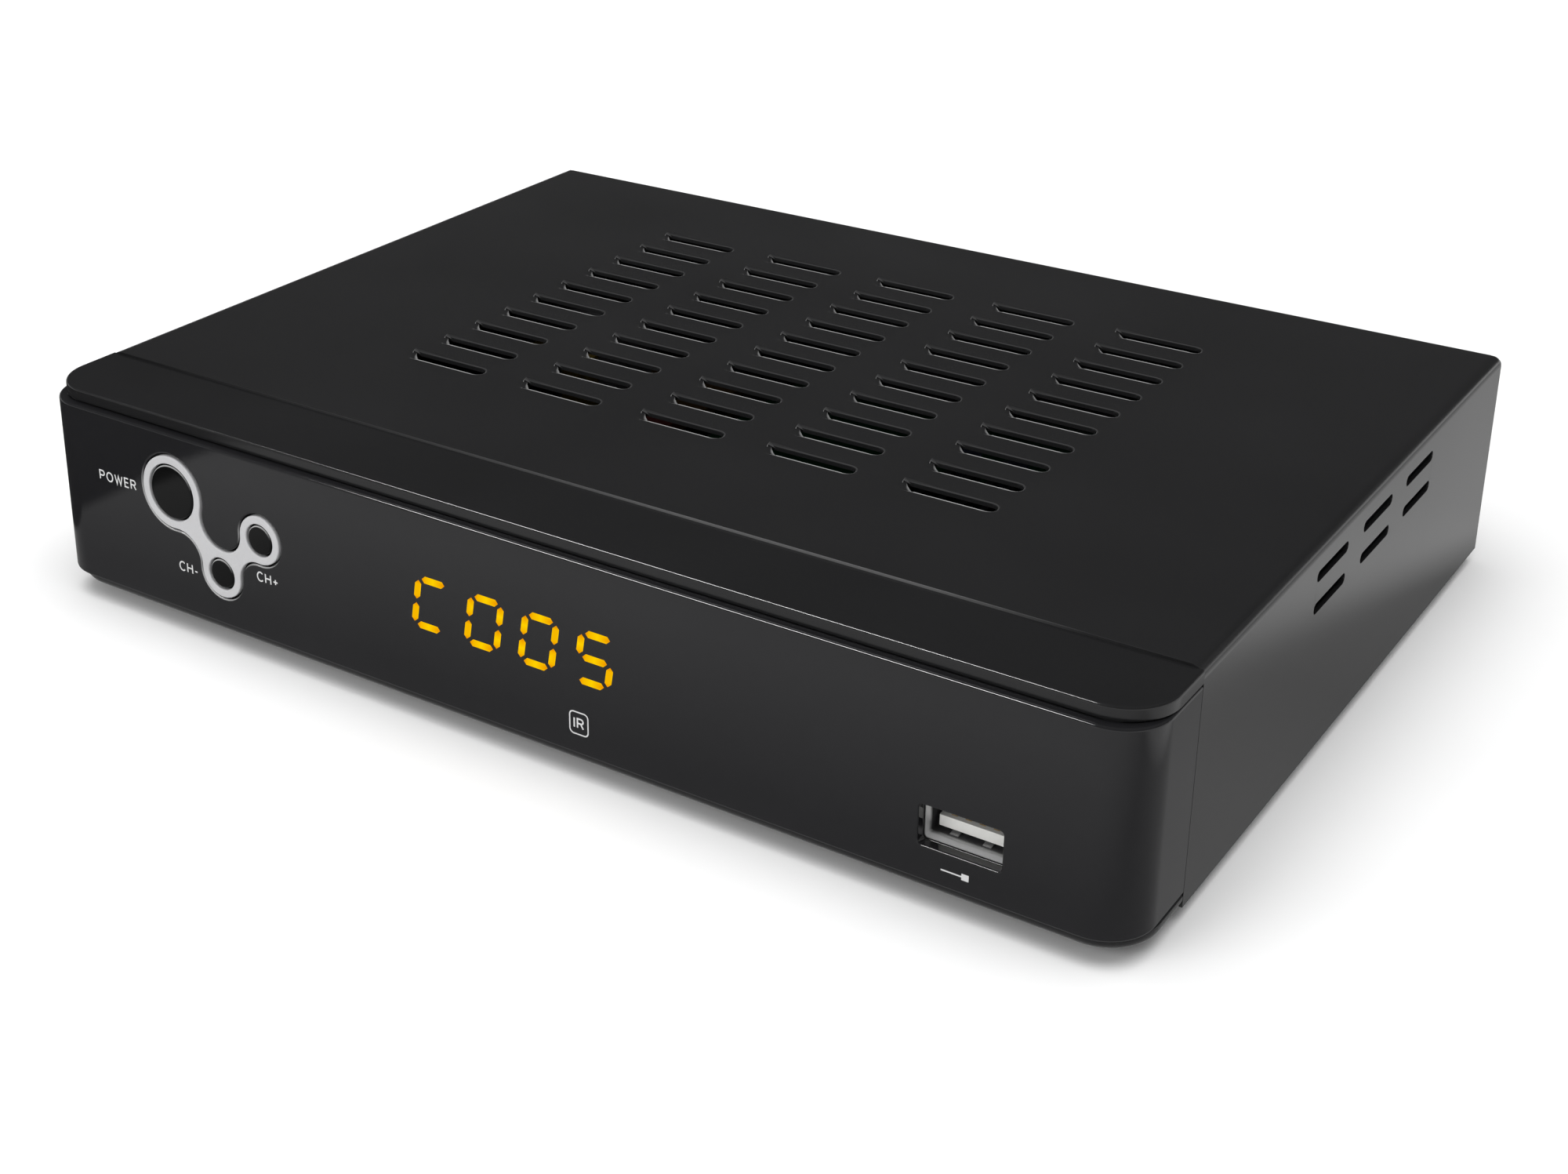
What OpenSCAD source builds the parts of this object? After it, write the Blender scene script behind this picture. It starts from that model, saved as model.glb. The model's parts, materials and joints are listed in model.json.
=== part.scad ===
// Digital converter box: a steel case with a moulded front, three push buttons and rear sockets.
// Millimetres. x runs to the right seen from the front, y to the back, z up.
// Inside the modules y = 0 is the cover's front edge and z = 0 is the tray's underside.

/* [Case] */
// Width over the steel cover
case_w = 220; // [204:1:260]
// Depth of the steel cover, front edge to back edge
case_d = 144.5; // [136:0.5:180]
// Height of the steel cover, lower edge to top face
case_h = 40.2; // [39:0.1:60]
// Thickness of the sheet steel
sheet_t = 0.8; // [0.6:0.1:1.1]
// Outer radius of the cover's long bends
bend_r = 2; // [1.4:0.1:3]
// Play where two sheets lap
lap_gap = 0.15; // [0.05:0.05:0.3]
// Height of the tray's side flanges
flange_h = 9; // [4:0.5:16]
// Height of the lip that hangs down at the cover's back
lip_h = 9; // [8:0.5:12]

/* [Vents] */
// Columns of slots in the top
vent_cols = 5; // [1:1:5]
// Rows of slots in the top
vent_rows = 10; // [1:1:10]
// Length of a top slot
vent_l = 18; // [10:0.5:22]
// Width of a top slot
vent_w = 3.4; // [2:0.1:4.5]
// Distance between the columns
vent_step_x = 26.5; // [23:0.5:28]
// Distance between the rows
vent_step_y = 9.4; // [6:0.1:10]
// First row behind the cover's front edge
vent_front = 30.2; // [15:0.1:35]
// Length of a side slot
side_vent_l = 14.4; // [8:0.2:18]
// Width of a side slot
side_vent_w = 2; // [1:0.1:3]
// Distance between the side slots along the depth
side_vent_step_y = 21.8; // [19:0.1:25]
// Distance between the two rows of side slots
side_vent_step_z = 5.75; // [4:0.05:7]
// Upper row of side slots below the cover's top
side_vent_drop = 5.6; // [4.5:0.1:9]
// First side slot behind the cover's front edge
side_vent_front = 53.7; // [40:0.1:65]

/* [Moulded front] */
// How far the fascia stands ahead of the cover
fascia_d = 18.5; // [17.5:0.1:22]
// Thickness of the fascia
fascia_t = 1.8; // [1.5:0.1:2.2]
// Corner radius of the fascia seen from above
fascia_r = 8.3; // [6.5:0.1:11]
// Lower edge of the fascia above the tray's underside
fascia_low = 2.4; // [2:0.1:4]
// Step from the fascia back to the cap above it
ledge = 1.6; // [0.6:0.1:1.8]
// Corner radius of the cap seen from above
cap_r = 9; // [6.5:0.1:11]
// Depth of the cap below the underside of the cover
cap_t = 2; // [1.4:0.1:3]
// Step from the cover's top down to the cap
cap_step = 0.4; // [0.2:0.1:0.8]
// Wall of the bezel
wall_t = 1.8; // [1.2:0.1:2.2]
// How far the bezel hangs below the tray
bezel_drop = 0.7; // [0.2:0.1:1.2]
// Play between the bezel and what sits in it
fit_gap = 0.1; // [0.05:0.05:0.2]
// Open seam between the bezel and the cover
seam = 0.15; // [0.1:0.05:0.4]
// How far the bezel's tongues reach under the cover
tongue_l = 5; // [3:0.5:6]

/* [Buttons] */
// Power button in from the left side
power_in = 33; // [28:0.5:40]
// Power button above the tray's underside
power_z = 25.9; // [24:0.1:27]
// Hole of the power button
power_hole = 11.1; // [9:0.1:12]
// Hole of a channel button
channel_hole = 6.3; // [5.4:0.1:7]
// Channel down button to the right of the power button
down_x = 11.2; // [10.5:0.1:13]
// Channel down button below the power button
down_z = 13.1; // [12.5:0.1:14]
// Channel up button to the right of the power button
up_x = 21.2; // [20.5:0.1:24]
// Channel up button below the power button
up_z = 3.8; // [2:0.1:5]
// Rim of the silver trim round each hole
rim_w = 1.5; // [1.1:0.1:1.8]
// Fillet of the trim between the power ring and the lower ring
long_fillet = 5.4; // [5:0.1:6]
// Fillet of the trim between the two channel rings
short_fillet = 4.4; // [4.1:0.1:5]
// Thickness of the trim
trim_t = 1.05; // [0.8:0.05:1.3]
// How far the trim stands out of the fascia
trim_proud = 0.25; // [0:0.05:0.4]
// Gap round a button in its hole
button_gap = 0.45; // [0.3:0.05:0.6]
// How far a button can be pressed
button_travel = 0.5; // [0.3:0.1:0.8]
// Collar that keeps a button from falling out, beyond its hole
collar_w = 1; // [0.6:0.1:1.2]

/* [Display and remote eye] */
// Digits in the display
digits = 4; // [1:1:4]
// Height between the middles of a digit's top and bottom bars
digit_h = 8.75; // [6:0.05:10]
// Width between the middles of a digit's side bars
digit_w = 6.2; // [4.5:0.1:7]
// Distance from digit to digit
digit_step = 11.25; // [9.5:0.05:12]
// Slant of the digits in degrees
slant = 8.8; // [0:0.1:12]
// Width of one lit bar
bar_w = 1.3; // [0.8:0.1:1.6]
// Middle of the display above the tray's underside
display_z = 20.8; // [19.5:0.1:23]
// Remote eye to the right of the middle
eye_x = 13.5; // [9:0.5:17]
// Remote eye above the tray's underside
eye_z = 8.2; // [7.6:0.1:9]

/* [USB port] */
// Port in from the right side
usb_in = 27.6; // [24:0.1:34]
// Port above the tray's underside
usb_z = 11.9; // [11.6:0.1:13.5]
// Width of the opening in the fascia
usb_open_w = 13.8; // [13.6:0.1:14.4]
// Height of the opening in the fascia
usb_open_h = 6.9; // [5.6:0.1:7.4]
// Width of the port's steel shell
usb_w = 13.1; // [13:0.1:13.4]
// Height of the port's steel shell
usb_h = 5.72; // [5.6:0.02:5.8]
// Length of the port's steel shell
usb_l = 14; // [12:0.5:15]

/* [Boards] */
// Thickness of the circuit boards
board_t = 1.6; // [1.2:0.1:2]
// Width of the power board
power_board_w = 62; // [60:1:64]
// Depth of the power board
power_board_d = 85; // [80:1:100]
// Gap between the power board and the main board
board_gap = 8.5; // [6:0.5:10]
// Gap from a board to the tray's side
board_margin = 5; // [4:0.5:6]
// Gap from the bezel's wall back to the front board
front_gap = 6.6; // [6.2:0.1:7.5]
// Side of the main chip
chip_w = 24; // [16:1:27]
// Height of the heat sink
sink_h = 12; // [8:1:18]
// Height of the large capacitor
bulk_h = 24; // [16:1:26]
// Diameter of the large capacitor
bulk_d = 18; // [12:1:20]

/* [Rear sockets] */
// Diameter over the aerial sockets' thread
antenna_d = 9.5; // [9:0.1:10]
// How far the aerial sockets stand out at the back
antenna_l = 10; // [8:0.5:14]
// Distance between the aerial sockets
antenna_step = 22; // [18:0.5:24]
// Diameter over the picture and sound sockets
sleeve_d = 8.3; // [8:0.1:8.6]
// How far the picture and sound sockets stand out at the back
sleeve_l = 8.5; // [6:0.5:10]
// Distance between the picture and sound sockets
sleeve_step = 14; // [12.5:0.5:14]
// Width of the mains inlet's flange
inlet_w = 25; // [24:0.5:28]
// Height of the mains inlet's flange
inlet_h = 15.5; // [14.5:0.5:18]
// Mains inlet in from the left side
inlet_in = 26; // [20:0.5:34]
// Mains inlet above the tray's underside
inlet_z = 20; // [18:0.5:22]

/* [Feet and screws] */
// Diameter of a foot
foot_d = 12; // [8:0.5:16]
// Height of a foot
foot_h = 2.5; // [1.5:0.1:5]
// Middle of a foot in from the side
foot_in_x = 20; // [12:0.5:30]
// Middle of a foot in from the front and back edges
foot_in_y = 20; // [12:0.5:30]
// Diameter of a screw's shank
shank_d = 2.5; // [2:0.1:2.6]
// Diameter of a screw's head
head_d = 5.2; // [4.4:0.1:5.4]
// Height of a screw's head
head_h = 1.7; // [1.2:0.1:2.2]
// Play round a screw's shank in its thread
thread_gap = 0.05; // [0.02:0.01:0.1]

/* [Hidden] */
$fn = 48;

// Overlap of a cutter past the face it cuts
cut = 1;
// Overlap where a fillet meets a ring
tangent_play = 0.02;

// Case
half_w = case_w / 2;
roof_z = case_h - sheet_t;
tray_half = half_w - sheet_t - lap_gap;
back_y = case_d - sheet_t;
wall_y = back_y - sheet_t;
rear_gap = 0.3;
floor_vent_rows = 6;
floor_vent_front = 25;
socket_y = wall_y - rear_gap;
front_end = fascia_d + trim_proud;
rear_end = back_y + antenna_l;
mid_y = (rear_end - front_end) / 2;

// Moulded front
cap_d = fascia_d - ledge;
core_inset = fascia_t + fit_gap;
core_d = fascia_d - core_inset;
core_half = half_w - core_inset;
core_r = fascia_r - core_inset;
cavity_d = core_d - wall_t;
cavity_half = core_half - wall_t;
cavity_r = core_r - wall_t;
cap_top = case_h - cap_step;
fascia_top = roof_z - cap_t - fit_gap;
bezel_floor = cap_t - bezel_drop;
boss_r = 2.9;
boss_root = -cavity_d - wall_t / 2;
tongue_step = 0.3;
tongue_in = 2;

// Buttons: name, place and hole of each
power_at = [power_in - half_w, power_z];
down_at = power_at + [down_x, -down_z];
up_at = power_at + [up_x, -up_z];
collar_t = 1;
cap_sunk = 0.2;
collar_play = 0.05;
switch_side = 6;
switch_h = 3.5;
plunger_r = 1.75;
plunger_gap = 0.3;
plunger_sunk = 0.5;
stem_l = 0.5;
plunger_y = collar_play + collar_t + stem_l - cavity_d;

// Boards
board_z = usb_z - usb_h / 2 - board_t;
board_top = usb_z - usb_h / 2;
front_board_y = front_gap - cavity_d;
front_board_in = 10;
front_board_left = front_board_in - half_w;
front_board_right = 38;
front_board_low = 7.6;
front_board_drop = 4.8;
front_board_high = case_h - front_board_drop;
front_screw_in = 4;
front_screw_up = 4.4;
front_screw_down = 3.4;
front_screws = [for (x = [front_board_left + front_screw_in, front_board_right - front_screw_in],
    z = [front_board_low + front_screw_up, front_board_high - front_screw_down]) [x, z]];
board_left = board_margin + sheet_t - tray_half;
board_right = -board_left;
power_board_right = board_left + power_board_w;
power_board_in = 20;
power_board_back = wall_y - power_board_in;
power_board_front = power_board_back - power_board_d;
main_left = power_board_right + board_gap;
main_mid = (main_left + board_right) / 2;
main_front = 6;
main_back_gap = 1;
main_back = wall_y - main_back_gap;
nose_half = 12;
nose_d = 11;
hole_in = 5;
left_hole_ahead = 30;
right_hole_ahead = 45;
main_screws = [[main_left + hole_in, main_front + hole_in], [board_right - hole_in, main_front + hole_in],
    [main_left + hole_in, main_back - left_hole_ahead],
    [board_right - hole_in, main_back - right_hole_ahead]];
power_screws = [for (x = [board_left + hole_in, power_board_right - hole_in],
    y = [power_board_front + hole_in, power_board_back - hole_in]) [x, y]];
chip_y = 62;
chip_at = [main_mid, chip_y];
chip_h = 1.8;
chip_sink_over = 1.5;
chip_sink_base = 3;
fins = 7;
fin_t = 1.4;
memory_size = [12, 18, 1.2];
memory_left = 32;
memory_ahead = 14;
memory_behind = 10;
memory_at = [for (y = [-memory_ahead, memory_behind]) chip_at + [-memory_left, y]];
small_r = 3.2;
small_h = 9;
small_step = 10;
small_behind = 30;
small_at = [for (k = [-2 : 2]) chip_at + [small_step * k, small_behind]];
standoff_r = 2.75;
standoff_bore = 5;

// Screws into the bezel and the rear wall
bezel_screw_z = sheet_t + 0.6 + head_d / 2;
bezel_screw_x = [14 - half_w, 0, half_w - 14];
bezel_screw_l = 9;
front_screw_l = 5;
flange_front_h = board_z - 0.4;
cover_screw_x = [30 - half_w, 0, half_w - 30];
cover_screw_z = case_h - lip_h / 2 - 0.3;
cover_screw_l = 5;

// USB port
usb_x = half_w - usb_in;
usb_sunk = 2.1;
usb_front = usb_sunk - fascia_d;
usb_sheet = 0.3;
usb_open_r = 0.8;
usb_shell_r = 0.6;
usb_tongue_t = 1.84;
usb_tongue_w = 11.1;
usb_tongue_in = 2.1;
usb_tongue_front = usb_front + usb_tongue_in;
usb_base = 4;
usb_tongue_down = 0.1;
usb_tongue_top = usb_z - usb_tongue_down;
contact_step = 2.3;
contact_in = 0.8;
contact_w = 1;
contact_t = 0.25;

// Display
display_half = (digits - 1) * digit_step / 2 + digit_w / 2 + 3.4;
display_up = digit_h / 2 + 2.4;
display_front = fit_gap - core_d;
eye_r = 2.3;
eye_half = 3;
eye_d = 4;
eye_brow = 0.5;
bar_depth = 0.4;
bar_end = 0.75;
bar_gap_long = 0.9;
bar_gap_wide = 1.4;
// Bars lit for C, 0 and 5, in the order top, upper right, lower right, bottom, lower left, upper left, middle
lit_channel = [1, 0, 0, 1, 1, 1, 0];
lit_zero = [1, 1, 1, 1, 1, 1, 0];
lit_five = [1, 0, 1, 1, 0, 1, 1];

// Rear sockets
sleeve_z = board_top + 8.5;
av_x = main_left + 26;
av_half = sleeve_step + 8;
av_h = 13.5;
av_d = 10.5;
sleeve_wall = 0.6;
shoulder = 0.3;
hub_t = 0.9;
hub_out = 1.2;
insert_sunk = 0.8;
plug_pin_r = 1.65;
panel_gap = 0.3;
hdmi_x = av_x + av_half + 12;
hdmi_w = 15;
hdmi_h = 5.6;
hdmi_l = 12;
hdmi_sheet = 0.3;
hdmi_out = 0.4;
hdmi_tongue_half = 5.6;
hdmi_tongue_t = 1.4;
hdmi_tongue_in = 1.5;
hdmi_base = 3;
tuner_w = 46;
tuner_d = 32;
tuner_h = 15;
tuner_right = board_right - 2;
antenna_z = board_top + 8;
antenna_x = [for (s = [-1, 1]) tuner_right - tuner_w / 2 + s * antenna_step / 2];
antenna_wall = 1.5;
antenna_insert_sunk = 0.5;
antenna_wire_r = 0.6;
nut_r = 6.35;
nut_t = 2.2;
inlet_x = inlet_in - half_w;
inlet_body_w = 21;
inlet_body_h = 11.5;
inlet_body_d = 13;
inlet_flange_t = 2;
inlet_corner_r = 2;
inlet_pin_step = 8.6;
inlet_pin_r = 1.2;
inlet_round_r = 4.1;
inlet_waist = 1.4;
inlet_floor = back_y - inlet_body_d + 2;
inlet_pin_l = 8.4;
inlet_tab_l = 3;
wire_r = 0.9;

// Power board pieces
fuse_r = 2.6;
fuse_l = 20;
fuse_up = 4;
clip_w = 4;
clip_h = 5.5;
clip_wall = 0.8;
clip_mouth = 3.2;
clip_in = 3;
fuse_in = 24;
fuse_ahead = 12;
fuse_at = [board_left + fuse_in, power_board_back - fuse_ahead];
bulk_in = 14;
bulk_ahead = 34;
bulk_at = [board_left + bulk_in, power_board_back - bulk_ahead];
core_in = 42;
core_ahead = 38;
core_at = [board_left + core_in, power_board_back - core_ahead];
core_size = [26, 12, 22];
core_leg = 5;
winding_gap = 0.2;
winding_out = 4;
sink_plate = [30, 2, 20];
transistor_size = [10, 4.5, 15];
output_r = 4;
output_h = 14;
output_step = 10;
output_in = 18;
output_behind = 7;
output_at = [board_left + output_in, power_board_front + output_behind];
header_size = [14, 5, 6];
header_x = 28;
header_y = 14;
front_header_z = 24;
ribbon_t = 0.6;
ribbon_w = 12;
ribbon_run = 2;
ribbon_run_in = 2.2;
ribbon_fall = 3;
ribbon_fall_in = 3.3;
harness_w = 8;
harness_header = [6, 10, 7];
harness_behind = 30;
harness_y = power_board_front + harness_behind;
sink_in = 36;
sink_plate_at = [board_left + sink_in, harness_y - harness_header[1] / 2];

// Moves a piece from the case frame to the part's frame: bottom middle of the box round it
module placed() {
    translate([0, -mid_y, foot_h]) children();
}

// Box between two corners
module box(low, high) {
    translate(low) cube(high - low);
}

// Flat shape in x and z, pushed from y = from to y = to
module along_y(from, to) {
    translate([0, to, 0]) rotate([90, 0, 0]) linear_extrude(to - from) children();
}

// Round bar along y through a place given in x and z
module rod_y(at, r, from, to) {
    along_y(from, to) translate(at) circle(r);
}

// Slot with round ends, along x
module slot(l, w) {
    square([l - w, w], center = true);
    for (s = [-1, 1]) translate([s * (l - w) / 2, 0]) circle(d = w);
}

// Doorway shape with two round upper corners
module arch(half, h, r) {
    translate([-half, 0]) square([2 * half, h - r]);
    translate([r - half, 0]) square([2 * (half - r), h]);
    for (s = [-1, 1]) translate([s * (half - r), h - r]) circle(r);
}

// Plan of the moulded front with two round front corners
module front_plan(half, d, r, back) {
    translate([-half, r - d]) square([2 * half, d - r + back]);
    translate([r - half, -d]) square([2 * (half - r), d + back]);
    for (s = [-1, 1]) translate([s * (half - r), r - d]) intersection() {
        circle(r);
        translate([-r, -r]) square([2 * r, r + cut]);
    }
}

// Box section with round corners, in x and z
module round_box(w, h, r) {
    square([w - 2 * r, h], center = true);
    square([w, h - 2 * r], center = true);
    for (i = [-1, 1], j = [-1, 1]) translate([i * (w / 2 - r), j * (h / 2 - r)]) circle(r);
}

// Cross-headed screw: the head's underside at z = 0, the shank below it
module screw(l) {
    difference() {
        union() {
            cylinder(h = head_h, d = head_d);
            translate([0, 0, -l]) cylinder(h = l + head_h / 2, d = shank_d);
        }
        for (turn = [0, 90]) rotate(turn) translate([-head_d / 3, -0.35, head_h * 0.45])
            cube([head_d / 1.5, 0.7, head_h]);
    }
}

// Neck between two rings, drawn in by a round fillet on each side
module neck(at1, r1, at2, r2, fillet) {
    span = norm(at2 - at1);
    far1 = r1 + fillet;
    far2 = r2 + fillet;
    along = (far1 * far1 - far2 * far2 + span * span) / (2 * span);
    aside = sqrt(far1 * far1 - along * along);
    translate(at1) rotate(atan2(at2[1] - at1[1], at2[0] - at1[0])) difference() {
        polygon([[0, 0], [along, aside], [span, 0], [along, -aside]]);
        for (s = [-1, 1]) translate([along, s * aside]) circle(fillet - tangent_play);
    }
}

// Body of the silver trim from y = from to y = to, grown all round by grow
module trim_body(grow, from, to) {
    big = power_hole / 2 + rim_w + grow;
    small = channel_hole / 2 + rim_w + grow;
    union() {
        rod_y(power_at, big, from, to);
        for (at = [down_at, up_at]) rod_y(at, small, from, to);
        along_y(from, to) neck(power_at, big, down_at, small, long_fillet - grow);
        along_y(from, to) neck(down_at, small, up_at, small, short_fillet - grow);
    }
}

// The three button holes
module button_holes() {
    translate(power_at) circle(d = power_hole);
    for (at = [down_at, up_at]) translate(at) circle(d = channel_hole);
}

// One bar of a digit, along x, with pointed ends
module bar(l) {
    polygon([[-l / 2, 0], [bar_end - l / 2, bar_w / 2], [l / 2 - bar_end, bar_w / 2], [l / 2, 0],
        [l / 2 - bar_end, -bar_w / 2], [bar_end - l / 2, -bar_w / 2]]);
}

// The lit bars of one slanted digit about its middle
module digit(lit) {
    side = digit_h / 2 - bar_gap_long;
    multmatrix([[1, tan(slant), 0, 0], [0, 1, 0, 0], [0, 0, 1, 0], [0, 0, 0, 1]]) {
        for (k = [0, 3, 6]) if (lit[k]) translate([0, k == 0 ? digit_h / 2 : k == 3 ? -digit_h / 2 : 0])
            bar(digit_w - bar_gap_wide);
        for (k = [1, 2, 4, 5]) if (lit[k]) translate([k < 3 ? digit_w / 2 : -digit_w / 2,
            k == 1 || k == 5 ? digit_h / 4 : -digit_h / 4]) rotate(90) bar(side);
    }
}

// The lit bars of the whole display
module display_bars() {
    for (k = [0 : digits - 1]) translate([(k - (digits - 1) / 2) * digit_step, display_z])
        digit(k == digits - 1 ? lit_five : k == 0 ? lit_channel : lit_zero);
}

// Slots in the cover's top
module top_vents() {
    for (i = [0 : vent_cols - 1], j = [0 : vent_rows - 1])
        translate([(i - (vent_cols - 1) / 2) * vent_step_x, vent_front + j * vent_step_y])
            slot(vent_l, vent_w);
}

// Slots in the cover's sides, drawn in y and z
module side_vents() {
    for (i = [0 : 2], j = [0, 1])
        translate([side_vent_front + i * side_vent_step_y, case_h - side_vent_drop - j * side_vent_step_z])
            slot(side_vent_l, side_vent_w);
}

// Places of the rear sockets, opened by play, in x and z
module rear_openings() {
    for (x = antenna_x) translate([x, antenna_z]) circle(antenna_d / 2 + panel_gap);
    for (i = [-1 : 1]) translate([av_x + i * sleeve_step, sleeve_z])
        circle(sleeve_d / 2 + fit_gap + hub_t + panel_gap);
    translate([hdmi_x, board_top + hdmi_h / 2])
        square([hdmi_w, hdmi_h] + 2 * panel_gap * [1, 1], center = true);
    translate([inlet_x, inlet_z])
        square([inlet_body_w, inlet_body_h] + 2 * panel_gap * [1, 1], center = true);
}

// Bent steel tray: floor, low side flanges, front flange and the rear wall
module chassis_tray() color("#3a3a3c") placed() difference() {
    union() {
        box([-tray_half, 0, 0], [tray_half, back_y, sheet_t]);
        for (x = [-tray_half, tray_half - sheet_t]) box([x, 0, 0], [x + sheet_t, back_y, flange_h]);
        box([-tray_half, 0, 0], [tray_half, sheet_t, flange_front_h]);
        along_y(wall_y, back_y) arch(tray_half, roof_z - lap_gap, bend_r - sheet_t);
    }
    along_y(wall_y - cut, back_y + cut) rear_openings();
    for (x = cover_screw_x) rod_y([x, cover_screw_z], shank_d / 2 + thread_gap, wall_y - cut, back_y + cut);
    for (x = bezel_screw_x) rod_y([x, bezel_screw_z], shank_d / 2 + panel_gap, -cut, sheet_t + cut);
    translate([0, 0, -cut]) linear_extrude(sheet_t + 2 * cut) for (i = [-1, 1], j = [0 : floor_vent_rows - 1])
        translate([i * vent_step_x, case_d / 2 - floor_vent_front + j * vent_step_y]) slot(vent_l, vent_w);
}

// Bent steel cover: top with slots, two sides, and a lip screwed to the rear wall
module top_cover() color("#1c1c1e") placed() difference() {
    union() {
        along_y(0, case_d) difference() {
            arch(half_w, case_h, bend_r);
            translate([0, -cut]) arch(half_w - sheet_t, roof_z + cut, bend_r - sheet_t);
        }
        along_y(back_y, case_d) intersection() {
            arch(half_w, case_h, bend_r);
            translate([-half_w, case_h - lip_h]) square([case_w, lip_h]);
        }
    }
    translate([0, 0, roof_z - cut]) linear_extrude(sheet_t + 2 * cut) top_vents();
    for (x = [-half_w - cut, half_w - sheet_t - cut])
        translate([x, 0, 0]) rotate([90, 0, 90]) linear_extrude(sheet_t + 2 * cut) side_vents();
    for (x = cover_screw_x) rod_y([x, cover_screw_z], shank_d / 2 + panel_gap, back_y - cut, case_d + cut);
}

// Moulded frame: cap, floor, hollow core behind the fascia, bosses and tongues
module front_bezel() color("#202022") placed() difference() {
    union() {
        difference() {
            union() {
                translate([0, 0, -bezel_drop]) linear_extrude(fascia_low - fit_gap + bezel_drop)
                    front_plan(half_w, cap_d, cap_r, -seam);
                linear_extrude(roof_z - cap_t / 2) front_plan(core_half, core_d, core_r, -seam);
                translate([0, 0, roof_z - cap_t]) linear_extrude(cap_top - roof_z + cap_t)
                    front_plan(half_w, cap_d, cap_r, -seam);
            }
            translate([0, 0, bezel_floor]) linear_extrude(roof_z - cap_t - bezel_floor)
                front_plan(cavity_half, cavity_d, cavity_r, cut);
        }
        box([tongue_in - cavity_half, -seam - cut, roof_z - cap_t + tongue_step],
            [cavity_half - tongue_in, tongue_l, roof_z - lap_gap]);
        for (x = [-core_half, cavity_half])
            box([x + tongue_step, -seam - cut, flange_h + tongue_in],
                [x + wall_t - tongue_step, tongue_l, roof_z - cap_t - tongue_in]);
        for (x = bezel_screw_x) rod_y([x, bezel_screw_z], boss_r, boss_root, 0);
        for (at = front_screws) rod_y(at, boss_r, boss_root, front_board_y);
    }
    along_y(-core_d - cut, -cavity_d + cut) button_holes();
    along_y(-core_d - cut, -cavity_d + cut) translate([0, display_z])
        square(2 * [display_half + panel_gap, display_up + panel_gap], center = true);
    rod_y([eye_x, eye_z], eye_r + panel_gap, -core_d - cut, -cavity_d + cut);
    along_y(-core_d - cut, -cavity_d + cut) translate([usb_x, usb_z])
        round_box(usb_open_w, usb_open_h, usb_open_r);
    for (x = bezel_screw_x)
        rod_y([x, bezel_screw_z], shank_d / 2 + thread_gap, sheet_t - bezel_screw_l - cut, cut);
    for (at = front_screws) rod_y(at, shank_d / 2 + thread_gap, front_board_y - front_screw_l,
        front_board_y + cut);
}

// Glossy fascia that wraps the front and both corners
module front_fascia() color("#161618") placed() difference() {
    translate([0, 0, fascia_low]) linear_extrude(fascia_top - fascia_low) difference() {
        front_plan(half_w, fascia_d, fascia_r, -seam);
        front_plan(half_w - fascia_t, fascia_d - fascia_t, fascia_r - fascia_t, cut);
    }
    trim_body(fit_gap, -fascia_d - cut, trim_t - trim_proud - fascia_d);
    along_y(-fascia_d - cut, fascia_t + cut - fascia_d) button_holes();
    along_y(-fascia_d - cut, fascia_t + cut - fascia_d) translate([usb_x, usb_z])
        round_box(usb_open_w, usb_open_h, usb_open_r);
    along_y(-fascia_d - cut, bar_depth - fascia_d) display_bars();
}

// Satin silver trim of three joined rings
module button_trim() color("#b9bbbd") placed() difference() {
    trim_body(0, -front_end, trim_t - front_end);
    along_y(-front_end - cut, trim_t - front_end + cut) button_holes();
}

// Four rubber feet
module rubber_feet() color("#111111") placed() {
    for (x = [foot_in_x - half_w, half_w - foot_in_x], y = [foot_in_y, case_d - foot_in_y])
        translate([x, y, -foot_h]) cylinder(h = foot_h, d = foot_d);
}

// Screws through the cover's lip into the rear wall
module cover_screws() color("#2a2a2c") placed() {
    for (x = cover_screw_x) translate([x, case_d, cover_screw_z]) rotate([-90, 0, 0]) screw(cover_screw_l);
}

// Screws through the tray's front flange into the bezel
module bezel_screws() color("silver") placed() {
    for (x = bezel_screw_x) translate([x, sheet_t, bezel_screw_z]) rotate([-90, 0, 0]) screw(bezel_screw_l);
}

// Push button: cap in its hole, collar behind the wall and a stem to the switch
module push_button(at, hole) color("#0e0e10") placed() {
    cap = hole / 2 - button_gap;
    rod_y(at, cap, cap_sunk - front_end, collar_play - cavity_d);
    rod_y(at, hole / 2 + collar_w, collar_play - cavity_d, collar_play + collar_t - cavity_d);
    rod_y(at, plunger_r, collar_play + collar_t - cavity_d, plunger_y);
}

module power_button() push_button(power_at, power_hole);

module channel_down_button() push_button(down_at, channel_hole);

module channel_up_button() push_button(up_at, channel_hole);

// Moving pin of a switch, touching its button's stem
module plunger(at) color("#d8d2c0") placed()
    rod_y(at, plunger_r, plunger_y, front_board_y - switch_h + plunger_sunk);

module power_switch_plunger() plunger(power_at);

module channel_down_plunger() plunger(down_at);

module channel_up_plunger() plunger(up_at);

// Switch housings on the front board, each with a well for its plunger
module tact_switches() color("#2b2b2b") placed() {
    for (at = [power_at, down_at, up_at]) difference() {
        along_y(front_board_y - switch_h, front_board_y) translate(at) square(switch_side, center = true);
        rod_y(at, plunger_r + plunger_gap, front_board_y - switch_h - cut,
            front_board_y - switch_h + plunger_sunk + button_travel + plunger_gap);
    }
}

// Upright board that carries the switches, the display and the remote eye
module front_board() color("#10301d") placed() difference() {
    box([front_board_left, front_board_y, front_board_low],
        [front_board_right, front_board_y + board_t, front_board_high]);
    for (at = front_screws)
        rod_y(at, shank_d / 2 + panel_gap, front_board_y - cut, front_board_y + board_t + cut);
}

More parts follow.
